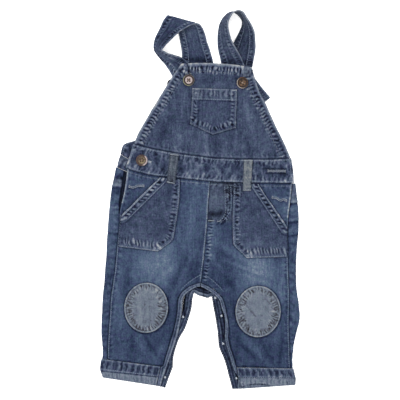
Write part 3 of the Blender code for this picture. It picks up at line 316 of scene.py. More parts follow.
INNER_J_STITCH = ((33.5, 18), (35.2, 0), (35.6, -12), (34.6, -20.1), (30.8, -25.8), (25, -30))
CROTCH_STITCH_L = ((1.5, -101.5), (-6, -106), (-14, -111.5), (-19.5, -116), (-25, -122))
CROTCH_STITCH_R = ((8, -102), (17, -108.5), (25, -116), (32.5, -124))
BUTTONHOLES = {
    "l": [((-95, 17.5), (-89, 16), (-84, 18.5), (-75, 18.5))],
    "r": [((98, 3), (104, 2), (109, -1.5), (113, 0.5), (117.5, -1.5))],
}
# the slit at the left strap's end, which is painted dark as a groove in shade
STRAP_SLIT = ((-17, 184), (-15.5, 178), (-13, 169.5))
BUTTON_BUMP = (63.5, 171.5)
# painted shade in the hollow between each front placket and the back one under it
PLACKET_HOLLOW_SHADE = {
    "l": ((-19.5, -133), (-20.8, -145), (-20.5, -157)), "r": ((28, -158), (31, -172), (33.5, -188)),
}
SLIT_PITS = ((-110.3, 29.6), (-105.8, 28.8))
# the right cuff's lens-shaped opening, which is given painted shade
CUFF_LENS = ((58, -252.5), (66, -250), (75, -248.8), (88, -249.6), (99.5, -252))
WAIST_CREASES = (
    ((86, 41.6), (98, 41.4), (117, 41.2)), ((90, 35.6), (104, 35.2), (116, 34.6)),
    ((115, 36.6), (121, 39.8), (127.5, 42)), ((118, 33.5), (124, 36.6), (128, 37)),
)
# Lines across the part of a back leg that comes forward: their lean and the x where y counts, then y, amount,
# depth and width of each. The pale ones are worn crests of folds; the dark ones are painted shade below them.
WRAP_LINES = {
    "l": (-0.1, -112, (
        (26, -0.12, 0, 6), (18.6, 0.36, 0.3, 1.5), (15.2, -0.3, -0.4, 1.5), (11, -0.12, 0, 6),
        (-10.7, 0.2, 0.1, 1.5), (-17, 0.16, 0.2, 6), (-43, 0.2, 0.2, 1.5), (-46, -0.42, -0.3, 1.5),
    )),
    "r": (0.12, 125, (
        (-6, -0.75, -0.4, 1.5), (-3, 0.25, 0.3, 1.5), (-12, 0.16, 0.2, 1.5), (-31, -0.55, -0.4, 1.5),
        (-27.5, 0.2, 0.3, 1.5), (-42.5, 0.22, 0.2, 1.5), (-49, -0.5, -0.3, 1.5), (-86, -0.3, -0.3, 1.5),
    )),
}
# painted shade on the straps' turned-over faces, and one paler patch: x, half width, y, half height, wash,
# bareness
STRAP_SHADING = {
    "l": ((-47, 16, 226, 18, -0.12, 0),),
    "r": ((32, 12, 214, 30, 0.1, 0), (90, 13, 238, 20, -0.3, 0.4), (66, 18, 250, 12, -0.2, 0.6)),
}
# edge, seed, slant, paleness of the rim and of the fold behind it
BIB_HEMS = (("left", 41, 0.05, 0.62, 0.16), ("right", 42, 0, 0.62, 0.16), ("top", 43, 0.1, 0.8, 0.3))
GREY = 0.45                           # how grey cloth goes where it is worn pale
LINE_DEFAULTS = (0, 0, GREY, -FAR, FAR)        # of a worn line or a line of painted shade: own part of the seed, place, grey, start and stop
BACK_TONE = -0.08

BLUE_STOPS = (
    (-1, (9, 13, 26)), (-0.6, (26, 33, 54)), (-0.3, (43, 53, 78)), (0, (65, 76, 102)),
    (0.25, (84, 97, 123)), (0.5, (104, 116, 139)), (0.75, (134, 143, 160)), (1, (180, 184, 193)),
)
GREY_STOPS = (
    (-1, (16, 18, 26)), (-0.6, (44, 50, 66)), (-0.3, (74, 83, 102)), (0, (104, 116, 136)),
    (0.3, (129, 139, 155)), (0.6, (155, 161, 172)), (1, (192, 194, 196)),
)
# the patches' turned edges go brownish where they are worn
PATCH_STOPS = (
    (-1, (22, 20, 20)), (-0.6, (48, 47, 52)), (-0.3, (74, 76, 85)), (-0.12, (93, 97, 109)),
    (0.06, (111, 122, 139)), (0.4, (138, 146, 157)), (1, (196, 196, 192)),
)
LOOP_STOPS = (
    (-1, (20, 22, 24)), (-0.3, (74, 82, 94)), (0, (103, 112, 124)), (0.3, (130, 136, 141)),
    (0.6, (157, 160, 158)), (1, (194, 194, 186)),
)
LEG_TINT = (-3, 0, 3)                 # the legs are a little bluer than the rest
FADE_TINT = (-5, 0, 2)                # and more so where they are faded

# ---------------------------------------------------------------- hard pieces and threads
# radius and height, as parts of the piece's own, from the middle of the top outwards
BUTTON_PROFILE = (
    (0, 0.58), (0.3, 0.58), (0.52, 0.6), (0.62, 0.78), (0.74, 0.98), (0.86, 1), (0.96, 0.78), (1, 0.42),
    (0.93, 0.12), (0.8, 0), (0, 0),
)
POPPER_PROFILE = ((0, 1), (0.34, 0.96), (0.6, 0.82), (0.78, 0.5), (0.84, 0.3), (1, 0.22), (1, 0), (0, 0))
# rings of colour, streak, how streaky, colour of the painted highlight on the rim
HORNS = {
    "pale": ((
        (-1, (192, 176, 172)), (0.16, (206, 190, 188)), (0.28, (112, 90, 88)), (0.38, (20, 10, 14)),
        (0.7, (24, 14, 16)), (0.8, (84, 74, 74)), (0.9, (128, 122, 118)), (1, (80, 76, 76)),
    ), (128, 104, 98), 0.3, (166, 168, 134)),
    "brown": ((
        (-1, (186, 164, 144)), (-0.5, (160, 134, 108)), (-0.1, (128, 96, 68)), (0.24, (92, 56, 32)),
        (0.42, (26, 14, 9)), (0.6, (36, 20, 13)), (0.76, (104, 70, 44)), (0.88, (116, 84, 58)),
        (1, (56, 44, 38)),
    ), (34, 22, 16), 1.5, (206, 196, 186)),
    "gold": ((
        (-1, (172, 158, 140)), (-0.4, (160, 146, 108)), (0, (140, 124, 96)), (0.4, (96, 78, 62)),
        (0.52, (40, 28, 26)), (0.68, (60, 42, 42)), (0.8, (100, 78, 74)), (1, (62, 46, 50)),
    ), (74, 56, 50), 1.5, (214, 196, 196)),
    "dark": (((-1, (30, 25, 24)), (0, (24, 20, 20)), (1, (16, 14, 16))), (34, 27, 25), 0.4, (44, 38, 36)),
}
# piece, material, colour, shade, slot
THREADS = {
    "topstitch": ("topstitching", "thread_pale", (148, 162, 182), (94, 111, 138), "denim_grey"),
    "tonal": ("tonal_stitching", "thread_tonal", (118, 128, 144), (76, 88, 112), "denim_grey"),
    "satin": ("buttonhole_thread", "thread_satin", (176, 184, 196), (112, 124, 144), "denim_grey"),
    "amber": ("fly_bartack", "thread_amber", (156, 168, 176), (108, 120, 132), "denim_grey"),
    "shank": ("button_thread", "thread_brown", (120, 84, 60), (70, 46, 34), "button_brown"),
    "light": ("button_thread_light", "thread_beige", (176, 150, 132), (128, 100, 82), "button_brown"),
}
SEWN = {kind: [] for kind in THREADS}
LOOSE_THREADS = (
    ((-47.6, -253.6, 1.2), (-45.8, -257.2, 0.4)), ((-46.8, -253.4, 1.4), (-46.6, -256.8, 0.4)),
    ((-57, -250.4, 1.4), (-58.4, -252.8, 0.5)), ((-53.4, -251.4, 1.2), (-52.6, -253.6, 0.5)),
)


# ---------------------------------------------------------------- numbers
def ease(t):
    """0 to 1 with soft ends."""
    t = np.clip(t, 0, 1)
    return t * t * (3 - 2 * t)


def between(a, b, t):
    return a + (b - a) * t


def bell(distance, width):
    return np.exp(-((distance / width) ** 2))


def block(x, half_x, y, half_y):
    """1 over an upright block, falling off quickly outside it."""
    return np.exp(-((x / half_x) ** 4) - (y / half_y) ** 4)


def unit(vectors):
    return vectors / np.linalg.norm(vectors, axis=-1, keepdims=True)


def ripple(seed, x):
    """Seeded smooth noise along a line, from -1 to 1, with a knot at each whole number."""
    knots = np.random.default_rng(seed).uniform(-1, 1, 1024)
    i = np.floor(x).astype(int)
    t = ease(x - i)
    return knots[i % 1024] * (1 - t) + knots[(i + 1) % 1024] * t


def patches(seed, x, y):
    """The same over a plane."""
    knots = np.random.default_rng(seed).uniform(-1, 1, (128, 128))
    x, y = x + 50, y + 50
    i, j = np.floor(x).astype(int), np.floor(y).astype(int)
    s, t = ease(x - i), ease(y - j)
    low = between(knots[i % 128, j % 128], knots[(i + 1) % 128, j % 128], s)
    high = between(knots[i % 128, (j + 1) % 128], knots[(i + 1) % 128, (j + 1) % 128], s)
    return between(low, high, t)


def hermite(t):
    """The shares of start, start slope, end and end slope in a curve's span."""
    return 2 * t**3 - 3 * t**2 + 1, t**3 - 2 * t**2 + t, 3 * t**2 - 2 * t**3, t**3 - t**2


def through(table, steps=STEPS):
    """A smooth curve through the table's rows, with steps spans from each row to the next."""
    rows = np.asarray(table, dtype=float)
    before = np.vstack([2 * rows[0] - rows[1], rows[:-1]])
    after = np.vstack([rows[1:], 2 * rows[-1] - rows[-2]])
    slope = ((after - before) / 2)[:, None]
    a, b, c, d = hermite((np.arange(steps) / steps)[None, :, None])
    spans = a * rows[:-1, None] + b * slope[:-1] + c * rows[1:, None] + d * slope[1:]
    return np.vstack([spans.reshape(-1, rows.shape[1]), rows[-1:]])


def level(table, column, x):
    """The value in a column of a table whose first column is x, eased from row to row."""
    rows = np.asarray(table, dtype=float)
    slopes = np.gradient(rows[:, column], rows[:, 0])
    i = np.clip(np.searchsorted(rows[:, 0], x) - 1, 0, len(rows) - 2)
    width = rows[i + 1, 0] - rows[i, 0]
    a, b, c, d = hermite((x - rows[i, 0]) / width)
    return a * rows[i, column] + b * width * slopes[i] + c * rows[i + 1, column] + d * width * slopes[i + 1]


def ovals(table, x, y):
    """The sum of a table's soft ovals at a place."""
    total = np.zeros(np.broadcast(x, y).shape)
    for middle_x, middle_y, direction, half_length, half_width, amount in table:
        turn = math.radians(direction)
        along = (x - middle_x) * math.cos(turn) + (y - middle_y) * math.sin(turn)
        across = (y - middle_y) * math.cos(turn) - (x - middle_x) * math.sin(turn)
        total += amount * np.exp(-((along / half_length) ** 2) - (across / half_width) ** 2)
    return total


def front_height(x, y):
    """Height of the underside of the front panels at a place."""
    return np.interp(y, *np.transpose(FRONT_LEVEL)) + ovals(FOLDS, x, y) + ovals(CREASES, x, y)


def front_wash_and_crease_shading(x, y):
    """How pale the wash has left a place on the front; the creases' ridges are worn and painted lighter,
    their troughs get painted shade.
    """
    return ovals(FADES, x, y) + 0.6 * ovals(CREASES, x, y)


def lengths(points, axis):
    """Distances along the lines of a grid of points, from the first point."""
    steps = np.cumsum(np.linalg.norm(np.diff(points, axis=axis), axis=2), axis=axis)
    return np.concatenate([np.zeros_like(np.take(steps, [0], axis=axis)), steps], axis=axis)


def length_along(points):
    """The same for a single line."""
    return lengths(points[:, None], 0)[:, 0]


def spaced(total, spacing):
    """Places along lines of several lengths, the same number on each, close together at both ends."""
    total = np.atleast_1d(np.asarray(total, dtype=float))[:, None]
    count = max(2, int(round(total.max() / spacing)))
    middle = RIM[-1] + np.linspace(0, 1, count) * (total - 2 * RIM[-1])
    start = np.tile(RIM[:-1], (len(total), 1))
    return np.hstack([start, middle, total - start[:, ::-1]])


def picked(rows, middle, spacing, gap=0):
    """Fine rows picked out again at even steps along their middle line, a gap away from its ends."""
    run = length_along(middle)
    places = gap + spaced(run[-1] - 2 * gap, spacing)[0]
    return np.column_stack([np.interp(places, run, column) for column in rows.T])


def respaced(rows, pairs, spacing):
    """The same, along the middle of some of the rows' own points."""
    return picked(rows, np.mean([rows[:, first : first + 2] for first in pairs], axis=0), spacing, SEAM_GAP)


def from_line(line, x, y):
    """How far along a broken line the point nearest to each place is, and how far away."""
    line = np.asarray(line, dtype=float)
    best = np.full(np.broadcast(x, y).shape, FAR)
    along = np.zeros_like(best)
    run = 0
    for start, end in zip(line, line[1:]):
        step = end - start
        size = float(np.hypot(*step))
        if size == 0:
            continue
        share = np.clip(((x - start[0]) * step[0] + (y - start[1]) * step[1]) / size**2, 0, 1)
        distance = np.hypot(x - start[0] - share * step[0], y - start[1] - share * step[1])
        nearer = distance < best
        best = np.where(nearer, distance, best)
        along = np.where(nearer, run + share * size, along)
        run += size
    return along, best


# ---------------------------------------------------------------- plan points
def fill(left, right, spacing, bow=0, power=2):
    """Plan points from left to right lines, with the cross lines' bow."""
    across = right - left
    size = np.linalg.norm(across, axis=1)
    share = (SEAM_GAP + spaced(size - 2 * SEAM_GAP, spacing)) / size[:, None]
    points = left[:, None] + across[:, None] * share[..., None]
    points[..., 1] += np.reshape(bow, (-1, 1)) * (1 - np.abs(2 * share - 1) ** power)
    return points


def flat_plan(table, spacing, power=2):
    rows = respaced(through(table), (0, 2), spacing)
    return fill(rows[:, 0:2], rows[:, 2:4], spacing, rows[:, 4] if rows.shape[1] > 4 else 0, power)


def meet(points, end, target_y, reach):
    """Moves one end row of a grid onto a seam whose y is known at each x, and its neighbours by less."""
    run = lengths(points[..., :2], 0)
    inward = run if end == 0 else run[-1:] - run
    points[..., 1] += (target_y(points[end, :, 0]) - points[end, :, 1]) * (1 - ease(inward / reach))
    return points


def band_plan(seams, ends, spacing):
    """Plan points of a waistband between its top and bottom seams."""
    ends = through(ends)
    middle_x = np.array([np.mean(ends)])
    height = level(seams, 1, middle_x) - level(seams, 2, middle_x) - 2 * SEAM_GAP
    share = spaced(height, spacing)[0] / height
    places = np.linspace(0, 1, len(ends))
    left = np.interp(share, places, ends[:, 0]) + SEAM_GAP
    right = np.interp(share, places, ends[:, 1]) - SEAM_GAP
    x = left[:, None] + spaced(right - left, spacing)
    top, bottom = level(seams, 1, x) - SEAM_GAP, level(seams, 2, x) + SEAM_GAP
    return np.dstack([x, between(top, bottom, share[:, None])])


def leg_lines(hip, leg, turn_up, spacing):
    """The fold, side, seam and back lines of one leg and its opening, from the waist seam to the cuff."""
    hip, leg = np.hstack([hip, CENTRE_SEAM]), np.array(leg)
    line = np.array(turn_up[0])[:4].reshape(2, 2)
    line = line[np.argsort(line[:, 0])]
    leg[-1, 1::2] = np.interp(leg[-1, 0::2], line[:, 0], line[:, 1]) - SEAM_GAP
    lower = np.column_stack([leg[:, [0, 1, 2, 3, 4, 5, 8, 9]], np.zeros(len(leg))])
    upper = np.vstack([hip[:, [0, 1, 2, 3, 5, 6, 7, 8, 4]], lower[:1]])
    rows = respaced(np.vstack([through(upper)[:-1], through(lower)]), (2, 4), spacing)
    return rows[:, 0:2], rows[:, 2:4], rows[:, 4:6], rows[:, 6:8], rows[:, 8:9]


def rails(plan):
    """For each edge of a grid of plan points, how far along it and how far square to it all points lie."""
    lines = {"left": plan[:, 0], "right": plan[:, -1], "top": plan[0], "bottom": plan[-1]}
    result = {}
    for edge, line in lines.items():
        step = max(1, len(line) // 40)
        result[edge] = from_line(np.vstack([line[:-1:step], line[-1:]]), plan[..., 0], plan[..., 1])
    return result


def border(table, power=2):
    """The sides and the bottom of a pocket as one line."""
    plan = flat_plan(table, 4, power)
    return np.vstack([plan[:, 0], plan[-1], plan[::-1, -1]])


# ---------------------------------------------------------------- materials
class Finish:
    """A material in the making, with short words for the nodes that it needs."""

    def __init__(self, name):
        self.material = bpy.data.materials.new(name)
        self.material.use_nodes = True
        self.tree = self.material.node_tree

    def feed(self, node, inputs):
        """Links or sets a node's inputs."""
        for key, value in inputs.items():
            if hasattr(value, "is_linked"):
                self.tree.links.new(value, node.inputs[key])
            else:
                node.inputs[key].default_value = value
        return node.outputs

    def node(self, kind, inputs, output=0, **settings):
        """The output of a new node."""
        node = self.tree.nodes.new("ShaderNode" + kind)
        for key, value in settings.items():
            setattr(node, key, value)
        return self.feed(node, inputs)[output]

    def attribute(self, name, output="Fac"):
        return self.node("Attribute", {}, output, attribute_name=name)

    def place(self):
        return self.node("TexCoord", {}, "Object")

    def math(self, operation, *values):
        return self.node("Math", dict(enumerate(values)), operation=operation)

    def scaled(self, value, gain, more):
        return self.math("MULTIPLY_ADD", value, gain, more)

    def noise(self, vector, x=1, y=1, scale=1, detail=2, roughness=0.5):
        """Noise over a vector, which is squeezed along x and y first."""
        if (x, y) != (1, 1):
            vector = self.node("VectorMath", {0: vector, 1: (x, y, 1)}, operation="MULTIPLY")
        inputs = {"Vector": vector, "Scale": scale, "Detail": detail, "Roughness": roughness}
        return self.node("TexNoise", inputs, "Fac")

    def ramp(self, value, stops):
        """A colour ramp through stops of wash and painted shade, from -1 to 1, and sRGB colours."""
        node = self.tree.nodes.new("ShaderNodeValToRGB")
        elements = node.color_ramp.elements
        while len(elements) < len(stops):
            elements.new(0.5)
        for element, (place, colour) in zip(elements, stops):
            element.position = 0.5 + 0.5 * place
            element.color = linear(colour)
        return self.feed(node, {"Fac": self.scaled(value, 0.5, 0.5)})["Color"]

    def mixed(self, factor, first, second):
        return self.node("Mix", {0: factor, 6: first, 7: second}, 2, data_type="RGBA")

    def done(self, height=None, strength=0, distance=0, **inputs):
        """The finished material, from the shader's inputs and its bumps."""
        if height is not None:
            bump = {"Strength": strength, "Distance": distance * MM, "Height": height}
            inputs["Normal"] = self.node("Bump", bump)
        named = {key.replace("_", " "): value for key, value in inputs.items()}
        self.feed(self.tree.nodes["Principled BSDF"], named)
        return self.material


def linear(colour):
    """An sRGB colour out of 255, as it is lit, as the linear one that the nodes take."""
    parts = np.array(colour) / 255
    lit = np.where(parts <= 0.04045, parts / 12.92, ((parts + 0.055) / 1.055) ** 2.4)
    return (*(lit / LIGHT_LEVEL), 1)


def denim(name, seed, blues=BLUE_STOPS, greys=GREY_STOPS, uneven=1):
    """Washed twill: the wash, with the painted shade and light that it carries, and the yarns' unevenness
    choose between indigo and bare cotton.
    """
    cloth = Finish(name)
    own_part = {0: cloth.attribute("weave", "Vector"), 1: (17 * seed, 31 * seed, 5 * seed)}
    weave = cloth.node("VectorMath", own_part)
    slub = cloth.noise(weave, 0.5, 0.06, 1, 3, 0.7)
    cross = cloth.noise(weave, 0.08, 0.5, 1, 2, 0.6)
    mottle = cloth.noise(weave, 0.2, 0.16, 1, 4, 0.65)
    grain = cloth.noise(weave, 0.55, 0.42, 1, 2, 0.65)
    u, v, _ = cloth.feed(cloth.tree.nodes.new("ShaderNodeSeparateXYZ"), {0: weave})
    twill = cloth.math("SINE", cloth.math("MULTIPLY", cloth.math("ADD", u, v), 2 * math.pi / TWILL_PITCH))
    value = cloth.attribute("wash_and_shade")
    for field, gain in ((slub, 0.85), (cross, 0.3), (mottle, 0.8), (grain, 1.05)):
        gain *= uneven
        value = cloth.math("ADD", value, cloth.scaled(field, gain, -0.5 * gain))
    value = cloth.scaled(twill, 0.035, value)
    colour = cloth.mixed(cloth.attribute("bare"), cloth.ramp(value, blues), cloth.ramp(value, greys))
    hue = cloth.scaled(cloth.noise(weave, 0.2, 0.2), 0.1, 0.45)
    colour = cloth.node("HueSaturation", {"Hue": hue, "Color": colour})
    height = cloth.math("ADD", cloth.math("MULTIPLY", twill, 0.25), cloth.math("MULTIPLY", grain, 1.2))
    height = cloth.scaled(slub, 0.9, height)
    return cloth.done(height, 0.55, 0.35, Base_Color=colour, Roughness=0.88, Specular_IOR_Level=0.05)


def thread(name, colour, shade):
    """Spun thread with its twist."""
    yarn = Finish(name)
    twist, fleck = yarn.noise(yarn.place(), scale=900), yarn.noise(yarn.place(), scale=160)
    factor = yarn.scaled(fleck, 1.6, yarn.scaled(twist, 0.5, -0.55))
    colour = yarn.mixed(factor, linear(shade), linear(colour))
    return yarn.done(twist, 0.4, 0.1, Base_Color=colour, Roughness=0.75)


def horn(name, stops, streak, amount, rim):
    """Polished horn: rings of colour, with cloudy streaks, and a painted highlight as a pale crescent on the
    rim.
    """
    disc = Finish(name)
    cloud = disc.noise(disc.place(), 1, 2.2, 210, 4, 0.6)
    radius = disc.math("ADD", disc.attribute("radius"), disc.scaled(cloud, 0.08, -0.04))
    rings = disc.ramp(disc.scaled(radius, 2, -1), stops)
    factor = disc.math("MAXIMUM", disc.scaled(cloud, 3 * amount, -1.2 * amount), 0)
    body = disc.mixed(disc.math("MINIMUM", factor, 1), rings, linear(streak))
    # painted highlight on the rim
    colour = disc.mixed(disc.attribute("crescent"), body, linear(rim))
    return disc.done(
        cloud, 0.15, 0.1, Base_Color=colour, Roughness=0.35, Specular_IOR_Level=0.16, Coat_Weight=0.03
    )


def steel(name):
    snap = Finish(name)
    scuff = snap.noise(snap.place(), scale=1500, detail=3)
    colour = snap.mixed(scuff, linear((188, 198, 212)), linear((226, 234, 244)))
    return snap.done(Base_Color=colour, Metallic=0.7, Roughness=snap.scaled(scuff, 0.2, 0.15))


# ---------------------------------------------------------------- meshes
def quads(grid):
    """Faces between the neighbours in a grid of point numbers."""
    return np.stack([grid[:-1, :-1], grid[1:, :-1], grid[1:, 1:], grid[:-1, 1:]], axis=-1).reshape(-1, 4)


def mesh_object(name, points, faces, finish, slot, node=None, **attributes):
    """A piece of millimetre points, with floats or vectors on its points."""
    points = (np.array(points, dtype=float) - (*MIDDLE, 0)) * MM
    points[:, 2] = np.maximum(points[:, 2], 0)
    mesh = bpy.data.meshes.new(name)
    mesh.from_pydata(points.tolist(), [], [list(face) for face in faces])
    for key, values in attributes.items():
        vector = values.ndim == 2
        store = mesh.attributes.new(key, "FLOAT_VECTOR" if vector else "FLOAT", "POINT")
        store.data.foreach_set("vector" if vector else "value", values.astype(np.float32).ravel())
    mesh.shade_smooth()
    mesh.materials.append(finish)
    piece = bpy.data.objects.new(name, mesh)
    bpy.context.collection.objects.link(piece)
    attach(piece, "root")
    if node:
        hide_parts(node)
    return piece


class Cloth:
    """A piece of cloth between two matching grids of points, with its sides' relief, and wash with painted
    shade and light.
    """

    def __init__(self, name, inside, outside):
        self.name = name
        self.middle = (inside + outside) / 2
        self.wall = np.linalg.norm(outside - inside, axis=2)
        self.up = (outside - inside) / self.wall[..., None]
        self.x, self.y = self.middle[..., 0], self.middle[..., 1]
        down, across = lengths(self.middle, 0), lengths(self.middle, 1)
        flat = np.zeros_like(down)
        self.edges = {
            "left": (down[:, :1] + flat, across),
            "right": (down[:, -1:] + flat, across[:, -1:] - across),
            "top": (across[:1] + flat, down),
            "bottom": (across[-1:] + flat, down[-1:] - down),
        }
        self.guides = self.edges              # what puckers, wear and painted shade are measured from
        self.rim = np.minimum.reduce([inward for _, inward in self.edges.values()])
        self.relief = [flat.copy(), flat.copy()]      # outside, inside
        self.wash_and_shade = [flat.copy(), flat.copy()]
        self.bare = [flat.copy(), flat.copy()]
        self.weave = (self.x, self.y)
        self.tree = None

    def guide(self, edge):
        """How far along an edge, and inward from it, all points lie: by its name, or as given."""
        return self.guides[edge] if isinstance(edge, str) else edge

    # shifts wash and bareness by a shape: for dye and wear, and for painted shade
    def shift_tone(self, wash_and_shade, bare, shape, sides=(0,)):
        for side in sides:
            self.wash_and_shade[side] += wash_and_shade * shape
            self.bare[side] += bare * shape

    def tint(self, side, amount, shape, grey=GREY):
        """Lightens or darkens; what is worn pale goes grey as well."""
        self.shift_tone(amount, grey * max(amount, 0), shape, (side,))

    def ridge(self, amount, depth, shape):
        """A worn ridge, or a dark hollow."""
        self.tint(0, amount, shape)
        self.relief[0] += depth * shape

    def pucker(self, edge, centre, half, pitch, depth, seed, tone=0.4, slant=0, tip=1.5, chance=1, bright=1,
               sides=(0,)):
        """Sewn-in ridges and hollows along an edge, each with its own place, length and depth."""
        along, inward = self.guide(edge)
        run = along + slant * inward
        rng = np.random.default_rng(seed)
        phase = run / pitch + 0.45 * chance * ripple(seed + 1, run / (1.7 * pitch))
        phase = phase + 0.25 * chance * patches(seed + 2, run / 7, inward / 3.2) + PUCKERS / 4
        strength = 0.9 + chance * rng.uniform(-0.45, 0.4, (2, PUCKERS))
        place = chance * rng.uniform(-0.3, 0.3, (2, PUCKERS)) * half
        reach = (1 + chance * rng.uniform(-0.35, 0.3, (2, PUCKERS))) * half
        width = 0.85 + chance * rng.uniform(-0.3, 0.15, (2, PUCKERS))
        shapes = []
        for k, number in enumerate((np.round(phase), np.floor(phase) + 0.5)):
            off, number = np.abs(phase - number), number.astype(int) % PUCKERS
            middle = centre + place[k][number] + (tip if k else 0)
            ends = np.abs(inward - middle) / reach[k][number]
            shapes.append(strength[k][number] * ease(1.35 * (1 - 2 * off / width[k][number] - ends**2.2)))
        dark, light = shapes
        for side in sides:
            self.relief[side] += depth * (light - dark)
            self.tint(side, tone * bright, light)
            self.tint(side, -1.25 * tone, dark)
        return self

    def veins(self, seed, across, down, amount, depth, window=1):
        """Chance folds pressed flat: a net of pale worn ridges with darker cloth between."""
        sway = patches(seed + 1, self.x / 9, self.y / 9)
        field = patches(seed, (self.x + 3 * sway) / across, (self.y + 5 * sway) / down)
        ridge = np.clip(1 - np.abs(field) / 0.5, -1, 1)
        self.relief[0] += depth * ridge * window
        self.tint(0, amount, np.clip(ridge - 0.35, 0, 1) * 1.4 * window)
        self.tint(0, -amount, np.clip(-ridge, 0, 1) * window)
        return self

    def lines_of_wear_and_shade(self, seed, *rows, sides=(0,)):
        """Worn pale lines, and dark ones, some of them painted shade: edge, width, amount, and the defaults
        for the rest.
        """
        for edge, width, amount, *rest in rows:
            more, place, grey, start, stop = (*rest, *LINE_DEFAULTS[len(rest) :])
            along, inward = self.guide(edge)
            uneven = 0.8 + 0.28 * ripple(seed + more, along / 5) + 0.2 * ripple(seed + more + 1, along / 1.9)
            within = ease((along - start) / 2) * (1 - ease((along - stop) / 2))
            for side in sides:
                self.tint(side, amount, uneven * bell(inward - place, width) * within, grey)
        return self

    def mark(self, line, width, amount, depth=0, seed=0, move=(0, 0)):
        """A pale, dark, raised or sunken line across the piece."""
        along, away = from_line(np.array(line) + move, self.x, self.y)
        shape = bell(away, width)
        self.wash_and_shade[0] += amount * shape * (0.8 + 0.3 * ripple(seed, along / 3))
        self.relief[0] += depth * shape
        return self

    def blotches(self, seed, size, amount, depth=0):
        """Soft uneven areas of wash, and of height where depth is given."""
        field = patches(seed, self.x / size, self.y / size)
        self.wash_and_shade[0] += amount * field
        self.relief[0] += depth * field
        return self

    def streaks(self, seed, amount):
        """Long soft streaks down the warp."""
        self.wash_and_shade[0] += amount * patches(seed, self.x / 3.4, self.y / 24)
        return self

    def surface(self, side=0):
        swell = np.sqrt(1 - (1 - np.clip(self.rim / np.minimum(self.wall / 2, RIM[-1]), 0, 1)) ** 2)
        reach = (self.wall / 2 + self.relief[side]) * swell
        return self.middle + self.up * (reach if side == 0 else -reach)[..., None]

    def make(self, finish, slot, flat, rests_on=(), under=(0, 0)):
        # painted shade and highlights of the folds, added to both sides of every piece
        fold_shading = ovals(FOLD_SHADING, self.x, self.y)
        face, back = self.surface(0), self.surface(1)
        number = np.arange(self.rim.size).reshape(self.rim.shape)
        inner = np.zeros_like(number, dtype=bool)
        inner[1:-1, 1:-1] = True
        behind = number.copy()
        behind[inner] = self.rim.size + np.arange(inner.sum())
        i, j = np.array(self.rim.shape) // 2
        turn = np.cross(face[i + 1, j] - face[i, j], face[i, j + 1] - face[i, j])
        flip = 1 if np.dot(turn, self.up[i, j]) > 0 else -1
        faces = np.vstack([quads(number)[:, ::flip], quads(behind)[:, ::-flip]])
        weave = np.dstack([*self.weave, np.zeros_like(self.x)])
        wash_and_shade = np.concatenate([(self.wash_and_shade[0] + fold_shading).ravel(), (self.wash_and_shade[1] + fold_shading + under[0])[inner]])
        bare = np.clip(np.concatenate([self.bare[0].ravel(), (self.bare[1] + under[1])[inner]]), 0, 1)
        values = {"wash_and_shade": wash_and_shade, "bare": bare}
        values["weave"] = np.vstack([weave.reshape(-1, 3), weave[inner] + (0, 0, INSIDE_WEAVE)])
        points = np.vstack([face.reshape(-1, 3), back[inner]])
        piece = mesh_object("cloth_" + self.name, points, faces, finish, slot, self.name, **values)
        return self

    def line(self, edge, inward, start=-FAR, stop=FAR):
        """Points on the outside at a distance from an edge, with the directions that stand up from it."""
        grids = [*self.edges[edge], self.surface(0), self.up]
        if edge in ("top", "bottom"):
            grids = [np.swapaxes(grid, 0, 1) for grid in grids]
        points, ups = [], []
        for along, away, face, up in zip(*grids):
            order = np.argsort(away)
            if away[order[-1]] >= inward and start <= along[order[0]] <= stop:
                points.append([np.interp(inward, away[order], face[order, c]) for c in range(3)])
                ups.append([np.interp(inward, away[order], up[order, c]) for c in range(3)])
        return np.array(points), np.array(ups)

    def drape(self, line, spacing=0.5):
        """Points of a plan line laid on the outside of the piece."""
        if self.tree is None:
            number = np.arange(self.rim.size).reshape(self.rim.shape)
            self.tree = BVHTree.FromPolygons(self.surface(0).reshape(-1, 3).tolist(), quads(number).tolist())
        line = np.asarray(line, dtype=float)
        run = length_along(line)
        places = np.arange(0, run[-1] + 1e-6, spacing)
        points = []
        for x, y in zip(np.interp(places, run, line[:, 0]), np.interp(places, run, line[:, 1])):
            hit = self.tree.ray_cast(Vector((x, y, 100)), Vector((0, 0, -1)))[0]
            if hit is not None:
                points.append(tuple(hit))
        points = np.array(points).reshape(-1, 3)
        return points, np.tile((0, 0, 1), (len(points), 1))

    def sew(self, kind, *rows, width=STITCH_WIDTH):
        """Rows of stitches, each along an edge or on a plan line."""
        for row in rows:
            sew_along(*(self.line(*row) if isinstance(row[0], str) else self.drape(row)), kind, width)
        return self


def flat_cloth(name, plan, wall, lift=None, square=False):
    """Cloth over plan points, on the ground or lifted from where the front panels lie."""
    x, y = plan[..., 0], plan[..., 1]
    low = np.zeros_like(x) if lift is None else front_height(x, y) + lift
    cloth = Cloth(name, np.dstack([x, y, low]), np.dstack([x, y, low + wall]))
    if square:
        cloth.guides = rails(plan)
    return cloth


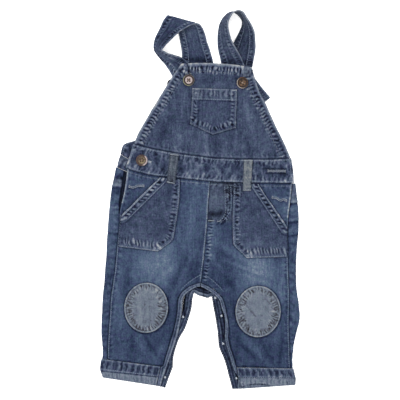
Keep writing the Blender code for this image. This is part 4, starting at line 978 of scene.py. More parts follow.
def wrapped(name, backs, folds, ends, walls, spacing, back_spacing):
    """Cloth that lies on the ground, curls up round the outer edge and comes back on top."""
    rise = front_height(ends[:, 0], ends[:, 1])
    radius = (rise + walls) / 2
    under_way, over_way = unit(backs - folds), unit(ends - folds)
    inside, outside = [], []

    def add(way, distance, z_in, z_out, extra=0):
        for store, z, more in ((inside, z_in, extra), (outside, z_out, 0)):
            xy = folds + way * (distance + more)[:, None]
            store.append(np.column_stack([xy, np.broadcast_to(z, len(xy))]))

    ground = spaced(np.linalg.norm(backs - folds, axis=1) - radius, back_spacing)[:, ::-1] + radius[:, None]
    for distance in ground.T[:-3]:
        add(under_way, distance, walls, 0)
    for turn in np.radians(np.linspace(-90, 90, CURL_COUNT)):
        way = under_way if turn < 0 else over_way
        z_in, z_out = radius + (radius - walls) * math.sin(turn), radius * (1 + math.sin(turn))
        add(way, radius * (1 - math.cos(turn)), z_in, z_out, walls * math.cos(turn))
    reach = np.linalg.norm(ends - folds, axis=1) - radius
    for distance in spaced(reach, spacing).T[3:]:
        xy = folds + over_way * (distance + radius)[:, None]
        z = between(rise, front_height(xy[:, 0], xy[:, 1]), ease(distance / reach * 2))
        add(over_way, distance + radius, z, z + walls)
    return Cloth(name, np.array(inside).transpose(1, 0, 2), np.array(outside).transpose(1, 0, 2))


def forward(cloth):
    """1 on the part of a wrapped piece that has come back on top, at 1.6 to 2.4 mm and above."""
    return ease((cloth.middle[..., 2] - 1.6) / 0.8)


# ---------------------------------------------------------------- sewing
def stitch(kind, start, end, up, width=STITCH_WIDTH):
    SEWN[kind].append((*np.array((start, end, up), dtype=float), width))


def sew_along(points, ups, kind="topstitch", width=STITCH_WIDTH):
    """A row of stitches along points on the cloth."""
    if len(points) < 2:
        return
    run = length_along(points)
    starts = np.arange(0.3, run[-1] - STITCH_LENGTH, STITCH_PITCH)

    def at(places, values):
        return np.column_stack([np.interp(places, run, values[:, c]) for c in range(3)])

    ends, middles = at(starts + STITCH_LENGTH, points), at(starts + STITCH_LENGTH / 2, ups)
    for start, end, up in zip(at(starts, points), ends, middles):
        stitch(kind, start + up * STITCH_LIFT, end + up * STITCH_LIFT, up, width)


def plan_ways(start, end):
    """The direction from start to end, and the one square to it."""
    way = (end - start) / np.linalg.norm(end - start)
    return way, np.array((-way[1], way[0]))


def bartack(cloth, start, end, width, kind="satin"):
    """Close stitches side by side, square to the line from start to end."""
    start, end = np.array(start), np.array(end)
    way, square = plan_ways(start, end)
    for k, place in enumerate(np.arange(0, np.linalg.norm(end - start), BAR_PITCH)):
        middle = start + way * place
        reach = width / 2 * (0.85 + 0.15 * math.sin(2.3 * k))
        points, ups = cloth.drape([middle - square * reach, middle + square * reach])
        if len(points) > 1:
            stitch(kind, points[0] + ups[0] * 0.25, points[-1] + ups[0] * 0.25, ups[0], BAR_WIDTH)


def buttonhole(cloth, line, width=3.6):
    """Two rows of satin stitches beside a closed slit, with a bar at each end."""
    line = np.array(line, dtype=float)
    run = length_along(line)

    def at(place):
        return np.array([np.interp(place, run, line[:, c]) for c in range(2)])

    for k, place in enumerate(np.arange(0, run[-1], HOLE_PITCH)):
        square = plan_ways(at(place - 0.5), at(place + 0.5))[1]
        for side in (-1, 1):
            far = width / 2 * (0.9 + 0.12 * math.sin(1.9 * k + side))
            points, ups = cloth.drape([at(place) + square * side * 0.3, at(place) + square * side * far], 0.3)
            if len(points) > 1:
                stitch("satin", points[0] + ups[0] * 0.2, points[-1] + ups[0] * 0.1, ups[0], HOLE_STITCH)
    for start, end in ((line[0], line[1]), (line[-1], line[-2])):
        square = plan_ways(end, start)[1] * width / 2
        bartack(cloth, start - square, start + square, 1.4)


def sewing(kind, name, finish, slot):
    """All stitches of one kind as one joined mesh."""
    points, faces = [], []
    turns = 2 * math.pi * np.arange(STITCH_SIDES) / STITCH_SIDES
    pairs = [(k, (k + 1) % STITCH_SIDES) for k in range(STITCH_SIDES)]
    for start, end, up, width in SEWN[kind]:
        along = end - start
        size = np.linalg.norm(along)
        if size < 0.05:
            continue
        way = along / size
        side = unit(np.cross(up, way))
        top = np.cross(way, side)
        first = len(points) * STITCH_SIDES
        for place, swell in STITCH_RINGS:
            middle = (start + end) / 2 + along * place - top * (0.3 * (1 - swell))
            round_it = np.outer(np.cos(turns), side) + np.outer(np.sin(turns), top) * 0.72
            points.append(middle + round_it * swell * width / 2)
        last = first + (len(STITCH_RINGS) - 1) * STITCH_SIDES
        for a in range(first, last, STITCH_SIDES):
            b = a + STITCH_SIDES
            faces += [(a + k, a + n, b + n, b + k) for k, n in pairs]
        faces.append(tuple(first + k for k in reversed(range(STITCH_SIDES))))
        faces.append(tuple(last + k for k in range(STITCH_SIDES)))
    mesh_object(name, np.vstack(points), faces, finish, slot)


# ---------------------------------------------------------------- back pieces
def back_bib(finish):
    plan = flat_plan(BACK_BIB, COARSE)
    seam = band_plan(BACK_WAIST_SEAMS, BACK_WAIST_ENDS, COARSE)[0]
    meet(plan, -1, lambda x: np.interp(x, seam[:, 0], seam[:, 1]) + 2 * SEAM_GAP, 14)
    cloth = flat_cloth("back_bib", plan, DENIM, square=True)
    cloth.wash_and_shade[0] += BACK_TONE
    cloth.pucker("left", 5.5, 4, 5.2, 0.12, 11).pucker("right", 5.5, 4, 5.2, 0.12, 12)
    cloth.lines_of_wear_and_shade(13, ("left", 1.2, 0.5), ("right", 1.2, 0.5, 1)).sew("topstitch", ("left", 3), ("right", 3))
    cloth.make(finish, "denim_back", (228, 68), under=(BACK_TONE, 0))


def back_waistband(finish):
    cloth = flat_cloth("back_waistband", band_plan(BACK_WAIST_SEAMS, BACK_WAIST_ENDS, 1.6), BACK_BAND)
    cloth.wash_and_shade[0] += BACK_TONE
    cloth.pucker("top", 6, 5, 6.4, 0.2, 21).pucker("bottom", 5.5, 4.5, 6.4, 0.2, 22)
    cloth.lines_of_wear_and_shade(23, ("top", 1, 0.6), ("left", 1.2, 0.5, 1), ("bottom", 0.9, 0.5, 2))
    cloth.shift_tone(0, 0.5, 1 - ease((cloth.edges["top"][1] - 7) / 5))
    cloth.make(finish, "denim_back", (237, 32), under=(BACK_TONE, 0))


def back_leg(side, hip, leg, turn_up, finish):
    folds, sides, _, backs, openings = leg_lines(hip, leg, turn_up, 1.5)
    ends = sides + unit(folds - sides) * (openings + SEAM_GAP)
    backs = backs - unit(backs - folds) * SEAM_GAP
    cloth = wrapped("back_leg_" + side, backs, folds, ends, DENIM, 1, 3.2)
    x = cloth.middle[0, :, 0]
    seam = level(BACK_WAIST_SEAMS, 2, np.clip(x, -113, 126)) - 2 * SEAM_GAP
    if side == "r":
        seam = np.maximum(seam, np.interp(x, (116, 122), (19, 21.6)))
    cloth.middle[..., 1] += (seam - cloth.middle[0, :, 1]) * (1 - ease(cloth.edges["left"][0][:, :1] / 12))
    strip, seed = forward(cloth), {"l": 31, "r": 35}[side]
    down, across = cloth.edges["right"]
    band = patches(seed, across / 14, down / 9)
    cloth.wash_and_shade[0] += BACK_TONE * 0.5 + strip * (0.16 * band + 0.05)
    cloth.relief[0] += strip * 0.35 * band
    cloth.pucker("right", 4, 4.5, 9, 0.2, seed + 1, 0.14)
    lean, at, rows = WRAP_LINES[side]
    # pale worn crests, and painted shade below them
    for y, amount, depth, width in rows:
        cloth.ridge(amount, depth, bell(cloth.y - y - lean * (cloth.x - at), width) * strip)
    if side == "l":
        # painted shade on the inside, which shows through the gap at the hip opening
        cloth.shift_tone(-0.85, -0.6, 1 - ease((down - 66) / 10), (1,))
        cloth.shift_tone(0, 0.9, block(cloth.x + 111, 8, cloth.y - 23, 4.6) * strip)
        for pit_x, pit_y in SLIT_PITS:
            pit = bell(np.hypot(cloth.x - pit_x, cloth.y - pit_y), 2.3) * strip
            cloth.ridge(-0.75, -0.4, pit)
    else:
        cloth.shift_tone(0, 0.5, strip * (1 - ease((down - 22) / 5)))
    # painted shade along the end of the wrap, beside the front leg's edge
    cloth.lines_of_wear_and_shade(32, ("right", 0.9, -0.6, 0, 0.2))
    cloth.make(finish, "denim_back", (150, 275), under=(0.1, 0.9))


def placket(part, side, leg, turn_up, finish):
    """A band down the inner edge of a leg and its cuff, between its seam line and its free edge."""
    name = part + "_placket_" + side
    first, lift, slot, flat, tones = PLACKETS[part]
    turned = through(turn_up)[:, first - 2 : first + 2]
    if name == "front_placket_r":             # it ends at the cuff's groove
        turned = turned[: 2 * STEPS + 1]
    stations = respaced(np.vstack([through(leg)[:, first : first + 4], turned]), (0, 2), 1)
    plan = fill(stations[:, 0:2], stations[:, 2:4], 0.8)
    if part == "back":                        # the two meet at the crotch
        plan[0] += unit(plan[0] - plan[1]) * 0.3
    cloth = flat_cloth(name, plan, BACK_BAND, lift)
    tone, seed, inward = tones[side], sum(map(ord, name)), cloth.edges["right"][1]
    cloth.wash_and_shade[0] += tone
    cloth.pucker("left", 5, 4, 6.5, 0.12, seed, 0.1)
    if part == "front":
        outward = cloth.edges["left"][1]
        cloth.tint(0, 0.4, bell(outward / (outward + inward) - 0.7, 0.3))
        cloth.lines_of_wear_and_shade(seed, ("left", 1, -0.62, 4, 3.4), ("right", 1.3, 0.34, 1, 0.9), ("left", 0.8, 0.4, 2, 1.7))
        cloth.lines_of_wear_and_shade(seed, ("left", 0.7, -0.7, 3))
    else:
        cloth.lines_of_wear_and_shade(seed, ("right", 1, 0.65, 1, 4.2), ("right", 1, 0.6, 2, 8.2), ("right", 0.8, -0.2, 3, 1))
        # painted shade in the hollow beside the front placket
        cloth.mark(PLACKET_HOLLOW_SHADE[side], 2, -0.7 if side == "l" else -0.45, -0.3)
        # painted shade where the back placket runs under the front one, and in the crotch behind it
        cloth.wash_and_shade[0] -= 0.6 * ease((inward - 9.6) / 1.6)
        cloth.wash_and_shade[0] -= 0.55 * bell(cloth.x - 6, 19) * bell(cloth.y + 118, 14) * ease((inward - 3.5) / 2.5)
        cloth.lines_of_wear_and_shade(seed, ("top", 1.6, -0.5, 4))
        cloth.shift_tone(0.34, 0.6, bell(cloth.x - 3, 12) * bell(cloth.y + 124, 9) * (1 - ease((inward - 4) / 2.5)))
    cloth.sew("topstitch", ("right", 1.3)).make(finish, slot, flat, under=(tone, 0.3))


def cuff(side, table, finish):
    count = len(table) - 1
    fine = np.column_stack([through(table), np.linspace(0, count, count * STEPS + 1)])
    rows = respaced(fine, (0, 2), 0.85)
    folds, ends, backs = rows[:, 0:2], rows[:, 2:4], rows[:, 6:8]
    ends, backs = ends + unit(folds - ends) * SEAM_GAP, backs + unit(folds - backs) * SEAM_GAP
    cloth = wrapped("cuff_" + side, backs, folds, ends, rows[:, 10], 0.9, 2.2)
    place = rows[:, 11][:, None] + np.zeros_like(cloth.x)
    upper = 1 - ease((place - 2.05) / 0.5)
    strip, seed = forward(cloth), {"l": 500, "r": 540}[side]
    cloth.bare[0] += 1 - upper
    cloth.wash_and_shade[0] += upper * 0.02 + (1 - upper) * 0.1
    cloth.pucker("top", 7.2, 9.5, 8.1, 0.45, seed, {"l": 0.36, "r": 0.27}[side], 0.1, 0, 0.7, 0.8)
    cloth.pucker("top", 7.2, 8, 4.3, 0.2, seed + 12, 0.16, -0.1, 0)
    cloth.relief[0] *= between(0.4, 1, strip)
    cloth.pucker((cloth.edges["top"][0], cloth.edges["bottom"][1]), 5, 5, 4.6, 0.12, seed + 9, 0.17)
    cloth.lines_of_wear_and_shade(seed, ("top", 1.5, 0.5, 5, 0.5))
    # painted shade on the lower band where it curls down at the outer fold
    outer = np.abs(cloth.x - folds[:, :1]) * strip
    cloth.wash_and_shade[0] -= 0.55 * bell(outer - 0.6, 1.3) * strip * (1 - upper)
    if side == "r":
        # painted shade along the cuff's lens-shaped opening, with a pale line above it, and painted shade
        # inside it
        cloth.mark(CUFF_LENS, 1, -0.6, -0.3).mark(CUFF_LENS, 1, 0.24, move=(1, 1.8))
        cloth.wash_and_shade[0] -= 0.2 * strip * bell(cloth.x - 78, 18) * ease((-251.5 - cloth.y) / 1.5)
        cloth.lines_of_wear_and_shade(seed, ("right", 1.2, -0.55, 15, 1.6))
    cloth.lines_of_wear_and_shade(seed, ("left", 1.1, -0.5, 14, 1.8), ("right", 1, 0.35, 6))
    cloth.wash_and_shade[0] += -0.5 * bell(place - 2.3, 0.2) + 0.45 * bell(place - 1.8, 0.16)
    groove = float(cloth.edges["top"][1][:, -1][np.searchsorted(rows[:, 11], 2.2)])
    cloth.sew("topstitch", ("top", groove - 1.2, 70))
    cloth.make(finish, "denim_wrong_side", (175, 36), under=(0, 1))


# ---------------------------------------------------------------- front pieces
def front_bib(finish):
    plan = flat_plan(FRONT_BIB, FINE)
    meet(plan, -1, lambda x: level(WAIST_SEAMS, 1, x) + SEAM_GAP, 12)
    guides = rails(plan)
    inset = np.minimum.reduce([guides[edge][1] for edge in ("left", "right", "top")])
    cloth = flat_cloth("front_bib", plan, DENIM + HEM_RISE * (1 - ease((inset - HEM_WIDTH + 1.5) / 2)), 0)
    cloth.guides = guides
    for edge, seed, slant, pale, fold in BIB_HEMS:
        cloth.pucker(edge, 6.4, 4, 4.9, 0.5, seed, 0.6, slant, 1.6, 0.85)
        cloth.pucker(edge, 11, 3, 4.6, 0.2, seed + 40, 0.34, -slant, bright=1.5)
        cloth.lines_of_wear_and_shade(seed, (edge, 1.5, pale, 3, 0.6, 0.9), (edge, 1.4, fold, 6, 2.6, 1.2))
    cloth.pucker("bottom", 4, 3.6, 6.2, 0.25, 44, 0.16).pucker("bottom", 10, 9, 23, 0.45, 48, 0.07, 0.15)
    # the dark line at the bottom is painted shade under the waistband's top edge
    cloth.lines_of_wear_and_shade(0, ("bottom", 1.1, 0.3, 56, 2.6), ("bottom", 0.9, -0.35, 51, 0.2), ("top", 4.5, 0.12, 52, 7))
    cloth.wash_and_shade[0] += front_wash_and_crease_shading(cloth.x, cloth.y)
    cloth.blotches(53, 22, 0.08).blotches(54, 7, 0.1, 0.06).streaks(55, 0.08)
    # painted shade round the bib pocket's edge, and in the slit as a dark groove
    cloth.mark(border(BIB_POCKET, 1), 1.5, -0.42).mark(STRAP_SLIT, 1.5, -1.9, -1.1)
    bump = np.hypot(cloth.x - BUTTON_BUMP[0], (cloth.y - BUTTON_BUMP[1]) * 1.1)
    cloth.relief[0] += 1.6 * (1 - ease((bump - 2) / 5.5))
    calm = 1 - ease((bump - 5) / 2.5)
    cloth.wash_and_shade[0] = between(cloth.wash_and_shade[0], -0.02 + 0.2 * bell(cloth.x - 70, 3), 0.75 * calm)
    cloth.bare[0] += 0.8 * calm
    cloth.wash_and_shade[0] -= 0.42 * bell(bump - 8.2, 1.2) * ease((cloth.y - BUTTON_BUMP[1] + 4) / 3)
    cloth.wash_and_shade[0] -= 0.3 * bell(bump - 2.6, 1.3)
    cloth.sew("topstitch", ("left", 1.9, 15), ("right", 1.9, 15), ("top", 1.6, 14, 80))
    cloth.sew("tonal", ("left", 12.4, 24), ("right", 12.4, 24), ("top", 12.2, 16, 76))
    return cloth.make(finish, "denim_front", (216, 130), ["cloth_back_bib"], (0.1, 0.9))


def bib_pocket(finish):
    cloth = flat_cloth("bib_pocket", flat_plan(BIB_POCKET, 0.95, 1), DENIM, DENIM + LAYER_GAP, square=True)
    cloth.pucker("left", 4.6, 3, 5, 0.3, 61).pucker("right", 4.4, 2.8, 5.2, 0.3, 62, 0.36)
    cloth.pucker("bottom", 6.2, 4.2, 4.9, 0.4, 63, 0.46, 0.2)
    cloth.pucker("top", 7, 6, 5.4, 0.3, 64, 0.24, 0, 0, bright=1.4)
    cloth.tint(0, 0.02, 1 - ease((cloth.guides["top"][1] - 12) / 3), 8)
    cloth.lines_of_wear_and_shade(0, ("left", 0.9, 0.5, 65), ("right", 0.9, 0.5, 66), ("bottom", 0.9, 0.5, 67))
    cloth.lines_of_wear_and_shade(0, ("top", 1.3, 0.6, 68, 0.4), ("top", 0.9, 0.42, 69, 14.3), ("top", 0.9, -0.45, 70, 16.2))
    cloth.lines_of_wear_and_shade(0, ("left", 1.5, -0.42, 72, 9.8), ("right", 1.5, -0.24, 73, 9))
    speck = block(cloth.x + 3, 7, cloth.y - 141.5, 7)
    cloth.wash_and_shade[0] = between(cloth.wash_and_shade[0], 0.05, 0.7 * speck)
    cloth.bare[0] += 0.35 * speck
    # the dark line at x 4.6 is painted shade along a fold inside the pocket's left side
    cloth.veins(74, 2.2, 2.2, 0.24, 0.1, speck).mark(((4.6, 149), (4.8, 135)), 1.3, -0.5)
    cloth.mark(((40.5, 147.5), (40, 134)), 1.2, -0.4).blotches(71, 9, 0.08)
    cloth.sew("tonal", ("left", 1.7), ("right", 1.7), ("bottom", 1.7)).sew("topstitch", ("top", 14.3))
    bartack(cloth, (-9, 149.3), (1, 149.1), 1.6)
    bartack(cloth, (44.5, 147.6), (50, 147.4), 1.5)
    cloth.make(finish, "denim_front", (62, 62), ["cloth_front_bib"], (0.1, 0.9))


def front_waistband(finish):
    cloth = flat_cloth("front_waistband", band_plan(WAIST_SEAMS, WAIST_ENDS, 0.95), BAND, 0)
    cloth.pucker("top", 5.6, 5.2, 5.8, 0.3, 81, 0.27, 0.25, 0)
    cloth.pucker("bottom", 5.6, 5.2, 5.6, 0.3, 82, 0.27, -0.3, 0)
    cloth.veins(83, 8, 15, 0.36, 0.35).veins(91, 4.5, 8, 0.26, 0.15)
    cloth.lines_of_wear_and_shade(0, ("top", 0.9, 0.42, 84, 1.6), ("bottom", 0.9, 0.4, 85, 2), ("top", 0.5, -0.25, 88))
    cloth.lines_of_wear_and_shade(0, ("bottom", 0.5, -0.25, 89), ("left", 1.8, 0.8, 86, 0.8, 0.5), ("right", 1.8, 0.6, 87))
    cloth.wash_and_shade[0] += -0.04 + 0.1 * ease((cloth.x - 96) / 20)
    cloth.blotches(90, 12, 0.09)
    for line in WAIST_CREASES:
        cloth.mark(line, 1.3, -0.55, -0.4)
    cloth.sew("topstitch", ("top", 2.2), ("bottom", 2.2), ("left", 2.4), ("right", 3))
    return cloth.make(finish, "denim_front", (232, 38), ["cloth_back_waistband"])


def leaned(middle_x, middle_y, a, b, lean):
    """Plan points from their places on a patch's own two axes."""
    turn = math.radians(lean)
    x = middle_x + a * math.cos(turn) - b * math.sin(turn)
    return np.stack([x, middle_y + a * math.sin(turn) + b * math.cos(turn)], axis=-1)


def ellipse(middle_x, middle_y, half_width, half_height, lean, grow=0):
    """Points round a knee patch's outline, grown by a distance."""
    turns = np.linspace(0, 2 * math.pi, 73)
    a, b = (half_width + grow) * np.cos(turns), (half_height + grow) * np.sin(turns)
    return leaned(middle_x, middle_y, a, b, lean)


def speckled(cloth, seed):
    """The dark, finely creased cloth at the top of the fly."""
    near = block(cloth.x - 46, 13, cloth.y - 12.5, 9.5)
    cloth.shift_tone(-0.4, 0.35, near)
    cloth.veins(seed, 2.4, 2.8, 0.6, 0.15, near)


def fly(cloth, seed, crotch):
    """What only the right front leg has: the fly's folds and wear, and the ridges of its inner edge."""
    along, inward = cloth.edges["right"]
    ticks = ease((along - 48) / 6) * (1 - ease((along - crotch + 4) / 4))
    before = cloth.relief[0].copy(), cloth.wash_and_shade[0].copy()
    cloth.pucker("right", 4.6, 4.2, 4.7, 0.45, seed + 9, 0.56, bright=0.8)
    cloth.relief[0] = between(before[0], cloth.relief[0], ticks)
    cloth.wash_and_shade[0] = between(before[1], cloth.wash_and_shade[0], ticks) + 0.12 * ticks * bell(inward - 5, 4.5)
    cloth.mark(J_STITCH, 1, 0.26, -0.1, seed).mark(INNER_J_STITCH, 0.9, 0.2, -0.1, seed + 1)
    # painted shade beside the fold of the J stitch
    cloth.mark(J_STITCH, 1.1, -0.6, 0, seed + 2, (-1.6, 0))
    cloth.mark(((14.5, -19), (24, -20.5), (30, -18)), 3.6, -0.62, -0.2, seed + 3)
    inside = ease((from_line(J_STITCH, cloth.x, cloth.y)[1] + (cloth.x < 30) * 9) / 3)
    flap = inside * (1 - ease((cloth.x - 43.5) / 2)) * ease((cloth.x - 9) / 3) * ease((cloth.y + 33) / 6)
    cloth.shift_tone(-0.22, 0.5, flap)
    along, away = from_line(np.array(INNER_J_STITCH) + (3.4, -0.6), cloth.x, cloth.y)
    across = away * np.sign(cloth.x - np.interp(-cloth.y, (-18, 0, 20.1, 30), (36.9, 38.6, 38, 28.4)))
    cloth.pucker((along, across), -1.8, 2.4, 4.4, 0.3, seed + 13, 0.4, 0.5, chance=1.5, bright=0.8)
    cloth.pucker((along, across), 2.2, 2.2, 5.2, 0.3, seed + 16, 0.34, -0.4, 0, 1.5)
    speckled(cloth, seed + 14)


def front_leg(side, hip, leg, turn_up, pocket, finish):
    _, sides, seams, _, _ = leg_lines(hip, leg, turn_up, FINE)
    plan = meet(fill(sides, seams, FINE), 0, lambda x: level(WAIST_SEAMS, 2, x) - SEAM_GAP, 12)
    cloth = flat_cloth("front_leg_" + side, plan, DENIM, 0)
    left, seed = side == "l", {"l": 100, "r": 140}[side]
    cloth.wash_and_shade[0] += front_wash_and_crease_shading(cloth.x, cloth.y)
    cloth.blotches(seed, 26, 0.08).blotches(seed + 1, 8, 0.06, 0.07).streaks(seed + 20, 0.06)
    cloth.pucker("top", 4, 3.6, 6.6, 0.2, seed + 2, 0.2)
    # the dark line at the top is painted shade under the waistband's lower edge
    cloth.lines_of_wear_and_shade(seed, ("top", 0.9, -0.35, 3, 0.2), ("top", 0.9, 0.4, 15, 3.6))
    cloth.pucker("left", 3.5, 3, 8, 0.18, seed + 4, 0.16)
    cloth.lines_of_wear_and_shade(seed, ("left", 0.9, 0.26, 5, 0.6), ("left", 1.6, 0.8 if left else 0.66, 10, 1, 0.5, -FAR, 46))
    crotch = float(cloth.edges["right"][0][np.argmin(np.abs(cloth.y[:, -1] + 111.8)), -1])
    cloth.lines_of_wear_and_shade(seed, ("left", 1.4, -0.14, 8, 2.8), ("right", 1.1, -0.35, 7, 0, GREY, crotch))
    cloth.lines_of_wear_and_shade(seed, ("right", 1, 0.75 if left else -0.45, 6, 0.5, GREY, -FAR, crotch))
    if not left:
        fly(cloth, seed, crotch)
    # painted shadow above the cuff's top edge
    cloth.lines_of_wear_and_shade(seed, ("bottom", 1.2, -0.35, 17, 0.8))
    if not left:
        # more painted shadow above the right cuff's top edge
        cloth.mark(((58, -224.5), (72, -225), (92, -227)), 1.4, -0.4, -0.2)
    for line in (CROTCH_STITCH_L, CROTCH_STITCH_R):
        cloth.mark(line, 0.9, 0.32, -0.1, seed + 11).mark(line, 1.1, -0.22, 0.15, seed + 12, (0, 2.4))
    # painted shadow on the leg to the lower right of the knee patch
    cloth.mark(ellipse(*KNEE_PATCHES["knee_patch_" + side], grow=0.8), 1.1, -0.6, move=(0.4, -0.5))
    # painted shadow below each buttonhole, and a pale line above it
    for line in BUTTONHOLES[side]:
        cloth.mark(line, 1, -0.4, move=(0.5, -2.3)).mark(line, 1, 0.2, move=(0, 2.4))
    # painted shade round the hip pocket's edge
    cloth.mark(border(pocket), 1.3, -0.45)
    if left:
        cloth.sew("topstitch", CROTCH_STITCH_L, ("right", 1.5, 4, crotch - 4))
    else:
        cloth.sew("topstitch", J_STITCH, INNER_J_STITCH, CROTCH_STITCH_R)
        bartack(cloth, (12, -28.2), (19.6, -28.5), 2.3, "amber")
        bartack(cloth, (24, -29.5), (29, -28.6), 1.5)
    cloth.sew("topstitch", ("left", 1.4, 62)).sew("tonal", ("top", 3.6))
    return cloth.make(finish, "denim_front", (142, 258), ["cloth_back_leg_" + side], (0.1, 0.9))


def hip_pocket(side, table, finish):
    left = side == "l"
    plan = flat_plan(table, 0.95)
    outer, inner = ("left", "right") if left else ("right", "left")
    ends = np.array(table)[[0, 4]]
    opening = ends[:, 0:2] if left else ends[:, 2:4]
    mouth = from_line(opening, plan[..., 0], plan[..., 1])
    wall = DENIM + OPENING_RISE * (1 - ease(mouth[1] - OPENING_WIDTH + 0.5))
    cloth = flat_cloth("hip_pocket_" + side, plan, wall, DENIM + LAYER_GAP, square=True)
    seed = {"l": 200, "r": 240}[side]
    cloth.blotches(seed, 16, 0.09).blotches(seed + 1, 6, 0.11, 0.08)
    away = ease((mouth[1] - 10) / 3)
    keep = cloth.wash_and_shade[0].copy(), cloth.relief[0].copy()
    cloth.pucker(inner, 5.4, 3.6, 5.2, 0.42, seed + 3, 0.44)
    cloth.pucker("bottom", 7.8, 6.4, 4.5, 0.4, seed + 4, 0.42, 0.15, 0.5, 0.9, 1.15)
    cloth.tint(0, 0.15, bell(cloth.guides["bottom"][1] - 6.5, 5))
    cloth.wash_and_shade[0] = between(keep[0], cloth.wash_and_shade[0], away)
    cloth.relief[0] = between(keep[1], cloth.relief[0], away)
    cloth.pucker(mouth, 4.8, 2.7, 6.6, 0.42, seed + 5, 0.64, 0.5, 0.3, 0.75, 0.95)
    cloth.lines_of_wear_and_shade(seed, (mouth, 1.2, 0.8, 6, 0.6), (mouth, 0.7, -0.3, 13, 2.4), (mouth, 0.8, 0.42, 7, 9.3))
    # the first line is painted shade just past the opening's raised facing
    cloth.lines_of_wear_and_shade(seed, (mouth, 1, -0.35, 8, 11), (inner, 0.9, 0.55, 9), ("bottom", 0.9, 0.6, 10))
    cloth.lines_of_wear_and_shade(seed, (inner, 0.8, 0.24, 12, 2.6))
    if not left:
        speckled(cloth, seed + 15)
    cloth.lines_of_wear_and_shade(seed, (outer, 1, -0.3, 11, 0, GREY, float(np.linalg.norm(opening[1] - opening[0]))))
    way, square = plan_ways(*opening)
    square = square * np.sign(np.dot(np.array((cloth.x.mean(), cloth.y.mean())) - opening[0], square))
    for distance in (1.7, 9.3):
        cloth.sew("topstitch", opening + np.array((way, -way)) * 1.5 + square * distance)
    cloth.sew("topstitch", (inner, 1.6), ("bottom", 1.6))
    cloth.make(finish, "denim_front", (86, 102), ["cloth_front_leg_" + side], (0.1, 0.9))


def knee_patch(name, middle_x, middle_y, half_width, half_height, lean, finish):
    close = (1, 0.996, 0.988, 0.976)          # places near the patch's edge, which is rounded
    share = np.concatenate([-np.array(close), np.linspace(-0.95, 0.95, 66), close[::-1]])
    u, v = np.meshgrid(share, share[::-1])
    a, b = u * np.sqrt(1 - v**2 / 2), v * np.sqrt(1 - u**2 / 2)
    plan = leaned(middle_x, middle_y, half_width * a, half_height * b, lean)
    cloth = flat_cloth(name, plan, PATCH_WALL, DENIM + LAYER_GAP)
    left, seed = name.endswith("l"), 300 if name.endswith("l") else 320
    mean, angle = (half_width + half_height) / 2, np.arctan2(b, a)
    cloth.rim = (1 - np.hypot(a, b)) * mean
    around = (angle + math.pi) * mean
    edge, rim = (around, cloth.rim / (1 + 0.6 * np.cos(angle) ** 2)), (around, cloth.rim)
    inner = ease((edge[1] - 6.5 - 1.5 * ripple(seed + 8, around / 9)) / 3)
    cloth.bare[0] += 0.95
    cloth.wash_and_shade[0] += between(0, 0.04 if left else 0.12, inner)
    pitch = 2 * math.pi * mean / 42
    cloth.pucker(edge, 4.2, 3.4, pitch, 0.35, seed, 0.24, 0.3, 0.8, 1.2, 1.4)
    cloth.pucker(edge, 6.2, 3, pitch * 0.8, 0.2, seed + 6, 0.2, -0.5, chance=1.5, bright=1.2)
    keep = cloth.wash_and_shade[0].copy()
    cloth.blotches(seed + 10, 1.5, 0.2).blotches(seed + 11, 2.6, 0.14)
    cloth.wash_and_shade[0] = between(cloth.wash_and_shade[0], keep, inner)
    cloth.lines_of_wear_and_shade(seed, (rim, 0.9, 0.5, 1, 0.7), (rim, 0.8, -0.2, 2, 2.6))
    if left:
        streaks = ripple(seed + 3, cloth.x / 3.2) * (0.6 + 0.4 * ripple(seed + 4, cloth.y / 14))
        cloth.wash_and_shade[0] += (0.3 * streaks + 0.06) * inner
        cloth.relief[0] += 0.2 * streaks * inner
    else:
        cloth.mark(((62, -141), (69, -149.5), (76, -158)), 1, -0.34, -0.4)
        cloth.mark(((84, -128), (95, -141)), 1.2, -0.16, -0.3)
    cloth.blotches(seed + 5, 7, 0.07, 0.05)
    cloth.sew("topstitch", ellipse(middle_x, middle_y, half_width, half_height, lean, -1.5), width=0.7)
    rests = ["cloth_front_leg_" + name[-1]]
    cloth.make(finish, "denim_grey", (2 * half_width + 1, 2 * half_height + 1), rests, (0, 1))


def belt_loop(name, table, tone, bare, finish):
    rows = respaced(through(table), (0, 2), 0.9)
    plan = fill(rows[:, 0:2], rows[:, 2:4], 0.8)
    run = lengths(plan, 0)
    swell = LOOP_BULGE * np.sin(math.pi * np.clip(run / run[-1:], 0, 1)) ** 0.5
    cloth = flat_cloth(name, plan, LOOP_WALL, LOOP_LIFT + swell)
    seed = 400 if name.endswith("l") else 420
    cloth.shift_tone(tone, bare, 1)
    cloth.blotches(seed, 3, 0.16, 0.08).blotches(seed + 7, 1.8, 0.16, 0.05)
    for edge in ("left", "right"):
        cloth.lines_of_wear_and_shade(seed, (edge, 0.9, -0.1, 1), (edge, 0.8, 0.16, 2, 2.6)).sew("tonal", (edge, 2.6))
    for edge in ("top", "bottom"):
        cloth.lines_of_wear_and_shade(seed, (edge, 1, 0.3, 3), (edge, 0.9, -0.3, 4, 2.6))
    cloth.make(finish, "denim_grey", (13, 44), ["cloth_front_waistband"], (0, 1))
    (ax, ay, bx, by), (cx, cy, dx, dy) = table[0], table[-1]
    bartack(cloth, (ax + 0.8, ay - 1.2), (bx - 0.8, by - 1.2), 1.8)
    bartack(cloth, (cx + 0.8, cy + 1.4), (dx - 0.8, dy + 1.4), 1.8)


